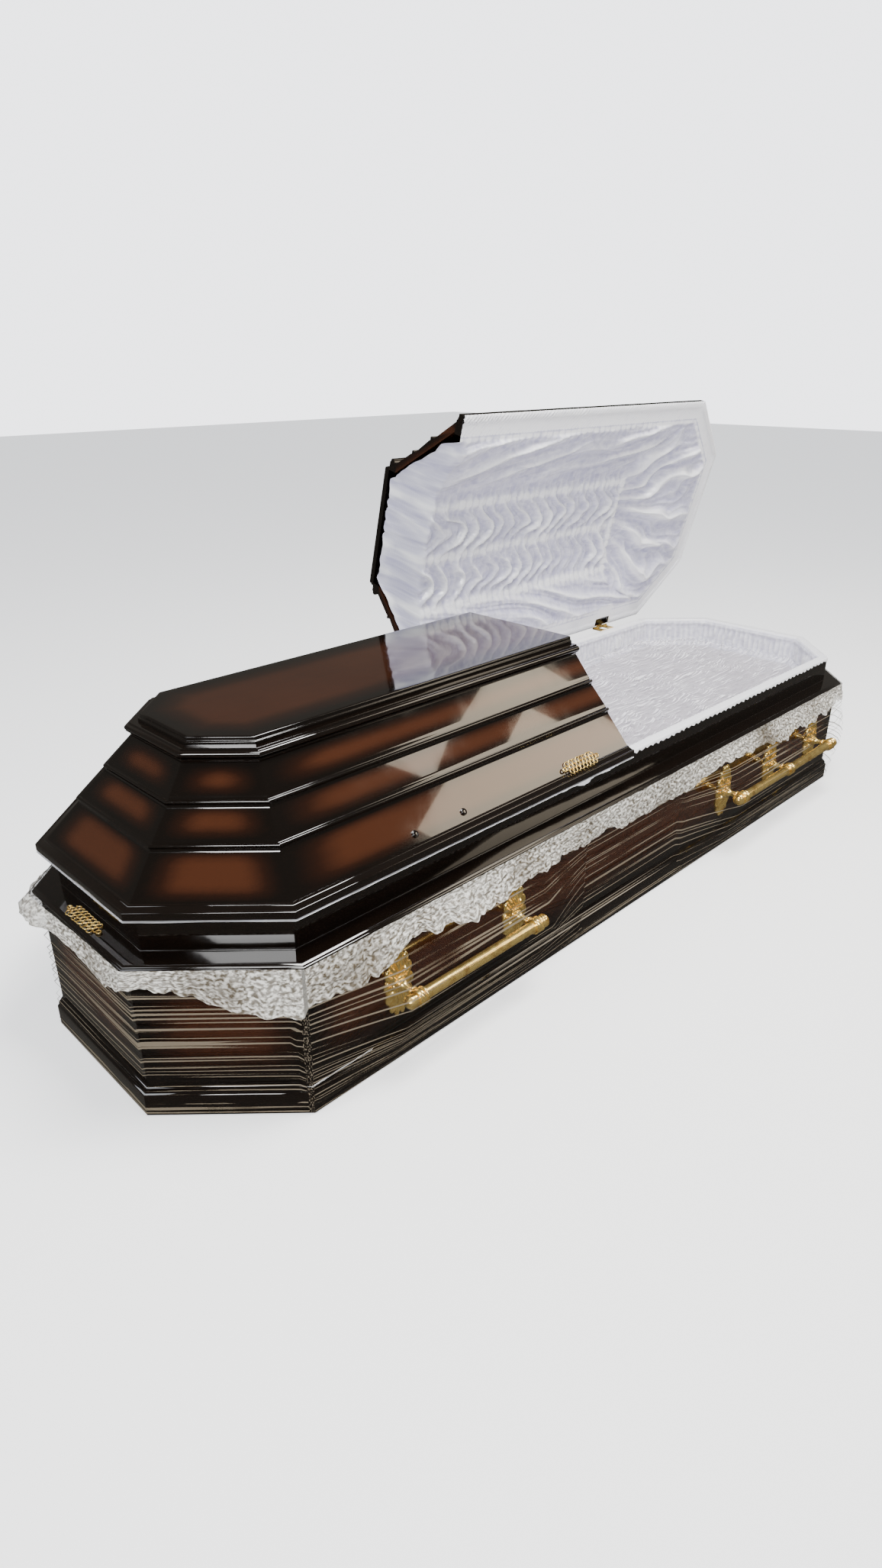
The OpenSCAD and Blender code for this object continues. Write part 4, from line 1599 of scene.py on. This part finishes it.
@dataclass
class Wrapping:
    """Clear film drawn round the base from the rim to the plinth and tented over the handles."""

    frame: Frame
    finishes: Finishes
    cloths: Linings
    reach: float = 0.17
    bar_gap: float = 0.0020
    wall_gap: float = 0.0012
    waist: float = 0.0060
    band_gap: float = 0.0022
    band_width: float = 0.030

    def build(self) -> None:
        """Makes the film on the walls and its bunched upper edge."""
        self.walls()
        self.band()

    def tent(self, x: Array, z: Array, y: Array) -> Array:
        """How far the film stands off where it passes over a bar: straight slopes down from it.

        Args:
            x: Place along the coffin.
            z: Height.
            y: Place across.

        Returns:
            Distances outward.
        """
        high = np.zeros_like(x)
        wall_top = self.frame.wall_top
        for node in ("near_foot_bar", "near_head_bar"):
            low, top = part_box(node)
            out = -low.y - self.frame.plan.width / 2 + self.bar_gap
            beside = np.maximum(np.maximum(low.x - x, x - top.x), 0)
            along = np.clip(1 - beside / self.reach, 0, 1) ** 1.15
            rise = np.clip(z / low.z, 0, 1)
            fall = np.clip((wall_top - z) / (wall_top - top.z), 0, 1)
            high = np.maximum(high, out * along * np.minimum(rise, fall))
        return high * (np.abs(y) > self.frame.plan.width / 2 - 0.03)

    def walls(self) -> None:
        """The film on the walls, with taut wrinkles that run along it at slightly changing slants.

        Away from the handles it draws in between the rim and the plinth by a sine of the height.
        """
        f = self.frame
        heights = np.linspace(0.003, f.wall_top + 0.0005, 64)
        profile = np.stack([np.full(64, -self.wall_gap), heights], -1)
        run = carried(f.plan, ALL_ROUND, profile, step=0.010, closed=True)
        s, v = np.meshgrid(run.along, heights, indexing="ij")
        tent = self.tent(run.points[..., 0], v, run.points[..., 1])
        drift = v + 0.05 * noise(s / 0.5, 0 * s, 121)
        streak = noise(s / 0.40 + v / 0.25, drift / 0.016, 123)
        drawn_in = self.waist * np.sin(math.pi * v / f.wall_top) * (tent < 0.001)
        away = tent + 0.0005 * (streak + 0.5) - drawn_in
        self.cloths.cloth(
            "wall_film", run.points + self.outward(run.points) * away[..., None], (s, v),
            "stretched", ["wall_near_board"], Body.BASE, ("wrapping_film",), closed=True,
            material=self.finishes.wrap, slot=Slot.FILM,
            cover=1 - 0.70 * smooth(0.030, tent - 0.020),
        )

    def band(self) -> None:
        """The film's bunched upper edge: a crinkled strip under the rim with a ragged lower edge.

        It is wider on the near side, with a lump at one foot corner and a sag at the other.
        """
        f = self.frame
        share = np.linspace(0, 1, 26)
        drop = self.band_width * share
        profile = np.stack([np.full(26, -self.band_gap), f.ledge_top - 0.004 - drop], -1)
        run = carried(f.plan, ALL_ROUND, profile, step=0.0038, closed=True)
        s, v = np.meshgrid(run.along, drop, indexing="ij")
        t = np.broadcast_to(share, s.shape)
        points = run.points.copy()
        near = smooth(0.2, 0.1 - points[..., 1])
        foot_corner, near_corner = (f.plan.station(stop, np.zeros(1))[0] for stop in (6, 0))
        lump = self.spot(points, foot_corner, 0.13)
        sag = self.spot(points, near_corner, 0.14)
        width = 0.014 + near * (0.018 + 0.022 * (rough(s / 0.16, 0 * s, 131) + 0.5))
        width += 0.014 * np.abs(rough(s / 0.03, 0 * s, 133)) * near + 0.034 * lump + 0.024 * sag
        points[..., 2] = f.ledge_top - 0.0035 - 0.0035 * (1 - near) - t * width
        crinkle = rough(s / 0.016, t * 7, 135) * 0.0034 + 0.0030 * ridges(t * 4 + s / 0.09, 2.0)
        crinkle += lump * (0.020 + 0.010 * rough(s / 0.03, t * 3, 137))
        away = crinkle * np.sin(math.pi * np.clip(t, 0.05, 1)) + 0.001
        points += self.outward(points) * away[..., None]
        over = self.tent(points[..., 0], points[..., 2], points[..., 1])
        points += self.outward(points) * over[..., None]
        self.cloths.cloth(
            "film_bunch", points, (s, v), "stretched", ["wall_film"], Body.BASE, (), closed=True,
            material=self.finishes.bunch, slot=Slot.FILM, cover=1.0,
        )

    @staticmethod
    def spot(points: Array, centre: Array, size: float) -> Array:
        """How near each point is to a spot of the plan: exp(-(distance / size)^2)."""
        return np.exp(-((np.linalg.norm(points[..., :2] - centre, axis=-1) / size) ** 2))

    def outward(self, points: Array) -> Array:
        """Unit directions away from the coffin's axis: the normal of each point's nearest face."""
        faces = self.frame.plan.faces()
        gaps = np.stack([c - points[..., :2] @ n for n, c in faces])
        nearest = np.array([n for n, _ in faces])[np.argmin(gaps, axis=0)]
        return np.concatenate([nearest, np.zeros(nearest.shape[:-1] + (1,))], -1)


# ---------------------------------------------------------------- fittings


def placing(origin: Sequence[float], x_axis: Sequence[float], y_axis: Sequence[float]) -> Matrix:
    """A place with the given first two directions; the third is their cross product."""
    x = Vector(x_axis).normalized()
    y = Vector(y_axis).normalized()
    columns = Matrix((x, y, x.cross(y))).transposed().to_4x4()
    columns.translation = Vector(origin)
    return columns


def torus(centre: Sequence[float], major: float, minor: float, tilt: float, spin: float) -> Part:
    """A small oval ring: ((R + r cos b) cos a, (R + r cos b) sin a, r sin b), tilted and moved."""
    around, across, oval = 22, 8, 0.86
    a, b = np.meshgrid(
        *(np.linspace(0, 2 * math.pi, count, endpoint=False) for count in (around, across)),
        indexing="ij",
    )
    out = major + minor * np.cos(b)
    points = np.stack([out * np.cos(a) * oval, out * np.sin(a), minor * np.sin(b)], -1)
    turn = Matrix.Rotation(spin, 3, "Z") @ Matrix.Rotation(tilt, 3, "X")
    points = points.reshape(-1, 3) @ np.array(turn).T + np.array(centre)
    return points, quads(around, across, True, True)


def bead(centre: Sequence[float], radius: float) -> Part:
    """A small ball, turned from a half circle."""
    points, faces = lathe(arc((0, 0), radius, 180, 0, 9), 12)
    return points + np.array(centre), faces


@dataclass
class Fittings:
    """Handles, ornaments, screw caps and hinges."""

    frame: Frame
    finishes: Finishes
    bar_r: float = 0.010
    flutes: int = 7
    flute_h: float = 0.0026
    dome: float = 0.0058
    ring_pitch: float = 0.0098
    row_pitch: float = 0.0082

    def build(self, nodes: dict[str, Object]) -> None:
        """Makes every fitting, and gilds the hinges' own solids.

        Args:
            nodes: The CAD nodes by name.
        """
        for side in Side:
            name = side.name.lower()
            for run, count in (("foot", 2), ("head", 3)):
                self.bar(f"{name}_{run}_bar")
                for number in range(1, count + 1):
                    self.bracket(f"{name}_{run}_bracket_{number}", side)
            for number in (1, 2):
                self.screw_cap(f"screw_cap_{name}_{number}", side)
        for name in ("ornament_lid_near", "ornament_lid_far", "ornament_ledge_foot"):
            self.ornament(name)
        for name, node in nodes.items():
            if name.startswith("hinge_"):
                self.coated(node, self.finishes.gilt, Slot.GILT)
            if name == "bottom_board":
                self.coated(node, self.finishes.black, Slot.BLACK)

    @staticmethod
    def coated(node: Object, material: Material, slot: Slot) -> None:
        """Gives a CAD node its finish."""
        node.data.materials.clear()
        node.data.materials.append(material)

    def metal(self, name: str, part: Part, node: str, sharp: float = 40.0) -> None:
        """Builds a gilt piece."""
        Piece(
            name, *part, self.finishes.gilt, Slot.GILT, Body.BASE, (node,), sharp_deg=sharp,
        ).build()

    def bar(self, node: str) -> None:
        """A round rail with three rings and a rounded knob at each end."""
        low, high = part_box(node)
        span, r = high.x - low.x, self.bar_r
        knob = (high.z - low.z) / 2
        end = np.concatenate([
            [(0, 0)], arc((0.0062, 0), 0.0062, 170, 100, 6) * (1, 1.45), [(0.0075, knob * 0.98)],
            arc((0.0095, knob - 0.0024), 0.0024, 140, 20, 6), [(0.0125, r + 0.0006)],
            arc((0.0145, r - 0.0002), 0.0018, 150, 30, 5), [(0.0168, r - 0.0002), (0.020, r)],
        ])
        end[:, 1] = np.clip(end[:, 1], 0, knob)
        other_end = np.stack([span - end[::-1, 0], end[::-1, 1]], -1)
        line = np.concatenate([end, [(span * 0.5, r)], other_end])
        place = Matrix.Translation((low.x, (low.y + high.y) / 2, (low.z + high.z) / 2))
        self.metal(node + "_rail", shaped([lathe(line, 32)], place), node)

    def bracket(self, node: str, side: Side) -> None:
        """A shell plate with flutes, a boss, a turned post and the eye that holds the bar."""
        low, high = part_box(node)
        wall = self.frame.plan.width / 2 - self.frame.wall_in
        middle = ((low.x + high.x) / 2, side.value * wall, (low.z + high.z) / 2)
        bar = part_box(node.split("_bracket")[0] + "_bar")
        reach = abs((bar[0].y + bar[1].y) / 2) - wall
        plate = self.shell((high.x - low.x) / 2, (high.z - low.z) / 2)
        place = placing(middle, (1, 0, 0), (0, 0, 1))
        points, faces = shaped([plate, self.post(reach), self.eye(reach)], place)
        points[:, 1] = side.value * (wall + np.abs(points[:, 1] - middle[1]))
        self.metal(node + "_shell", (points, faces), node)

    def shell(self, half_w: float, half_h: float) -> Part:
        """The scalloped plate: radius (a cos t, b sin t) drawn in between its lobes.

        The relief is a low dome, 1 - r^2, plus a flute wave |cos(7t)| that fades at the boss and
        rim, and two rings, each exp(-((r - place) / width)^2).

        Args:
            half_w: Half the plate's width.
            half_h: Half its height.

        Returns:
            The plate, lying on its back.
        """
        angles = np.linspace(0, 2 * math.pi, 196, endpoint=False)
        radii = np.concatenate([[0.0], np.linspace(0.24, 1.0, 20)])
        t, r = np.meshgrid(angles, radii, indexing="ij")
        flute = np.abs(np.cos(self.flutes * t))
        lobe = 1 - 0.15 * (1 - flute)
        from_top = np.abs(np.angle(np.exp(1j * (t - math.pi / 2))))
        tip = 1 + 0.07 * np.exp(-((from_top / 0.16) ** 2))
        fade = np.clip((r - 0.22) / 0.2, 0, 1) * np.clip((1.02 - r) / 0.12, 0, 1)
        height = 0.0012 + self.dome * (1 - r**2) + self.flute_h * flute**0.8 * fade
        for size, place, width in ((0.0020, 0.56, 0.05), (0.0014, 0.95, 0.035)):
            height += size * np.exp(-(((r - place) / width) ** 2))
        out = r * lobe * tip
        across, up = half_w * out * np.cos(t), half_h * out * np.sin(t)
        shape = np.stack([across, np.clip(up, -half_h, half_h), height], -1)
        rim = shape[:, -1:] * (1, 1, 0)
        points = np.concatenate([shape, rim, np.zeros_like(rim)], axis=1)
        return points.reshape(-1, 3), quads(len(angles), len(radii) + 2, wrap_columns=True)

    def post(self, reach: float) -> Part:
        """The boss, with two rings, and the waisted post out to the bar."""
        r = self.bar_r * 0.75
        line = np.concatenate([
            [(0.003, 0), (0.003, 0.0155)], arc((0.0070, 0.0135), 0.0026, 120, 20, 6),
            [(0.0102, 0.0118)], arc((0.0120, 0.0108), 0.0019, 120, 0, 5),
            [(0.0150, 0.0092), (0.022, r * 0.88), (0.031, r * 0.86)],
            arc((0.0350, r * 1.05), 0.0018, 150, 10, 5), [(reach - 0.006, r), (reach - 0.006, 0)],
        ])
        points, faces = lathe(line, 28)
        return points[:, (1, 2, 0)], faces

    def eye(self, reach: float) -> Part:
        """The ring round the bar: a turned collar with a bead at each end, hollow inside."""
        inner, r = self.bar_r + 0.0002, self.bar_r + 0.0035
        line = np.concatenate([
            [(-0.0090, inner)], arc((-0.0075, r - 0.001), 0.0016, 200, 20, 7),
            [(-0.0050, r - 0.0004)], arc((0.0, r - 0.0042), 0.0047, 150, 30, 7),
            [(0.0050, r - 0.0004)], arc((0.0075, r - 0.001), 0.0016, 160, -20, 7),
            [(0.0090, inner)],
        ])
        points, _ = lathe(line, 32)
        return points + (0, 0, reach), quads(len(line), 32, wrap_columns=True, wrap_rows=True)

    def ornament(self, node: str) -> None:
        """An open cluster in three rows: oval rings on uneven tilts, beads between, end leaves.

        A ring's tilt and turn come from the fractional part of a large sine of its row and number.
        """
        low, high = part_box(node)
        centre, size = (low + high) / 2, high - low
        upright = "lid" in node
        sign = 1 if centre.y < 0 else -1
        along = Vector((sign, 0, 0)) if upright else Vector((0, 1, 0))
        across = Vector((0, sign * size.y, size.z)) if upright else Vector((-1, 0, 0))
        length = size.x if upright else size.y
        place = placing(centre, along, across)
        parts = []
        pitch = self.ring_pitch
        count = int(length / pitch)
        for row in range(3):
            middle = row == 1
            ends = 0 if middle else 1
            for k in range(ends, count - ends):
                u = (k - (count - 1) / 2) * pitch
                u += (pitch / 2 if middle else 0.0) * (-1 if k > count / 2 else 1)
                mix = math.sin(12.9898 * (k + 1) + 78.233 * (row + 1)) * 43758.5453
                mix -= math.floor(mix)
                v = (row - 1) * self.row_pitch
                ring = (u, v, 0.0008 * mix)
                parts.append(torus(ring, 0.0046, 0.0010, 0.5 * mix - 0.25, 6.28 * mix))
                parts.append(bead((u + pitch / 2, v + 0.003 * (mix - 0.5), 0.0012), 0.0016))
        for end in (-1, 1):
            parts.append(torus((end * (length / 2 - 0.0052), 0, 0), 0.0042, 0.0014, 0, 1.57))
        self.metal(node + "_filigree", shaped(parts, place), node, 60.0)

    def screw_cap(self, node: str, side: Side) -> None:
        """A low cap in the plank: a raised rim, a groove and a domed middle."""
        low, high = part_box(node)
        centre = (low + high) / 2
        lid = Lid(self.frame, self.finishes)
        slope = lid.corners()[1] - lid.corners()[0]
        slope /= np.linalg.norm(slope)
        up = (0, -side.value * slope[0], slope[1])
        line = np.concatenate([
            [(-0.0012, 0.0058), (0.0004, 0.0060)], arc((0.0004, 0.0052), 0.0008, 90, 0, 4),
            [(0.0000, 0.0042), (0.0002, 0.0036), (0.0009, 0.0030), (0.0012, 0.0)],
        ])
        points, faces = lathe(line, 28)
        place = placing(centre, (1, 0, 0) if side is Side.NEAR else (-1, 0, 0), up)
        part = shaped([(points[:, (1, 2, 0)], faces)], place)
        Piece(
            node + "_disc", *part, self.finishes.black, Slot.BLACK, Body.BASE, (node,)
        ).build()


# ---------------------------------------------------------------- studio


@dataclass(frozen=True)
class Studio:
    """Pale floor, soft lights and the camera."""

    camera_at: tuple[float, float, float] = (-1.42956, -1.18207, 1.01631)
    azimuth: float = -44.607
    elevation: float = 24.927
    roll: float = -0.239
    lens: float = 20.911
    surroundings: float = 3.4
    floor_glow: float = 0.9
    mirrored: float = 0.12
    fill: float = 0.60
    floor_half: float = 14.0
    lamps_aim: tuple[float, float, float] = (0.0, 0.0, 0.3)

    def build(self) -> None:
        """Sets up everything that isn't the coffin."""
        self.floor()
        self.world()
        self.lights()
        self.camera()

    def floor(self) -> None:
        """A wide plain floor under the coffin, a little brighter to the camera than it is lit."""
        mesh = bpy.data.meshes.new("floor")
        signs = ((-1, -1), (1, -1), (1, 1), (-1, 1))
        corners = [(sx * self.floor_half, sy * self.floor_half, -0.001) for sx, sy in signs]
        mesh.from_pydata(corners, [], [(0, 1, 2, 3)])
        n = Nodes(bpy.data.materials.new("pale_floor"))
        seen = n.math("MULTIPLY", n.add("LightPath").outputs["Is Camera Ray"], self.floor_glow)
        white, cool = (0.90, 0.90, 0.89, 1.0), (0.97, 0.98, 1.0, 1.0)
        mesh.materials.append(n.finish(
            {"Base Color": white, "Roughness": 0.9, "Emission Color": cool}, Emission_Strength=seen
        ))
        made = bpy.data.objects.new("floor", mesh)
        made.visible_glossy = False
        bpy.context.scene.collection.objects.link(made)

    def world(self) -> None:
        """Pale surroundings, less bright as light, and dim in polish so that only lamps glare."""
        world = bpy.data.worlds.new("surroundings")
        n = Nodes(world, "OutputWorld")
        pale, soft, dim = (
            n.add("Background", Color=(*colour, 1.0), Strength=strength).outputs[0]
            for colour, strength in (
                ((0.95, 0.96, 1.0), self.surroundings), ((0.90, 0.93, 1.0), self.fill),
                ((0.80, 0.76, 0.68), self.mirrored),
            )
        )
        ray = n.add("LightPath").outputs
        unseen = n.add("MixShader", in0=ray["Is Glossy Ray"], in1=soft, in2=dim).outputs[0]
        shown = n.add("MixShader", in0=ray["Is Camera Ray"], in1=unseen, in2=pale).outputs[0]
        n.tree.links.new(shown, n.output.inputs[0])
        bpy.context.scene.world = world

    def lights(self) -> None:
        """Three soft lamps, and two warm panels that the lacquer mirrors."""
        for name, at, size, power, colour in (
            ("overhead", (0.1, -0.7, 3.0), (1.5, 0.9), 130.0, (1.0, 0.99, 0.97)),
            ("near_side", (-3.2, -2.3, 2.2), (1.4, 1.0), 125.0, (1.0, 1.0, 1.0)),
            ("foot_side", (-3.4, 0.8, 2.6), (1.2, 1.6), 34.0, (0.92, 0.95, 1.0)),
            ("window_low", (2.3, -2.0, 2.3), (1.1, 1.0), 17.0, (1.0, 0.86, 0.66)),
            ("window_high", (2.1, -1.2, 3.3), (1.2, 0.7), 12.0, (1.0, 0.88, 0.70)),
        ):
            data = bpy.data.lights.new(name, "AREA")
            data.shape, (data.size, data.size_y) = "RECTANGLE", size
            data.energy, data.color = power, colour
            lamp = bpy.data.objects.new(name, data)
            lamp.location = at
            lamp.visible_camera = False
            lamp.rotation_mode = "QUATERNION"
            aim = Vector(self.lamps_aim) - Vector(at)
            lamp.rotation_quaternion = aim.to_track_quat("-Z", "Y")
            bpy.context.scene.collection.objects.link(lamp)

    def camera(self) -> None:
        """The camera at the coffin's foot on the near side, a little above the lid."""
        a, e = math.radians(self.azimuth), math.radians(self.elevation)
        back = Vector((math.sin(a) * math.cos(e), -math.cos(a) * math.cos(e), math.sin(e)))
        turn = (-back).to_track_quat("-Z", "Y").to_matrix()
        turn = turn @ Matrix.Rotation(math.radians(self.roll), 3, "Z")
        data = bpy.data.cameras.new("camera")
        data.sensor_fit, data.sensor_width, data.sensor_height = "AUTO", 36.0, 36.0
        data.lens = self.lens
        data.clip_start = 0.05
        made = bpy.data.objects.new("camera", data)
        made.matrix_world = Matrix.Translation(self.camera_at) @ turn.to_4x4()
        bpy.context.scene.collection.objects.link(made)
        bpy.context.scene.camera = made


def main() -> None:
    """Builds the coffin and its studio."""
    logging.basicConfig(level=logging.INFO, format="%(name)s: %(message)s")
    for old in list(bpy.data.objects):
        bpy.data.objects.remove(old)
    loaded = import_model()
    frame = Frame.read(loaded["joints"][0])
    finishes = Finishes()
    Base(frame, finishes).build()
    for half in Half:
        Lid(frame, finishes, half=half).build()
    linings = Linings(frame, finishes)
    linings.build()
    Bedding(frame, finishes, linings).build()
    Wrapping(frame, finishes, linings).build()
    Fittings(frame, finishes).build(loaded["nodes"])
    Studio().build()


if __name__ == "__main__":
    main()
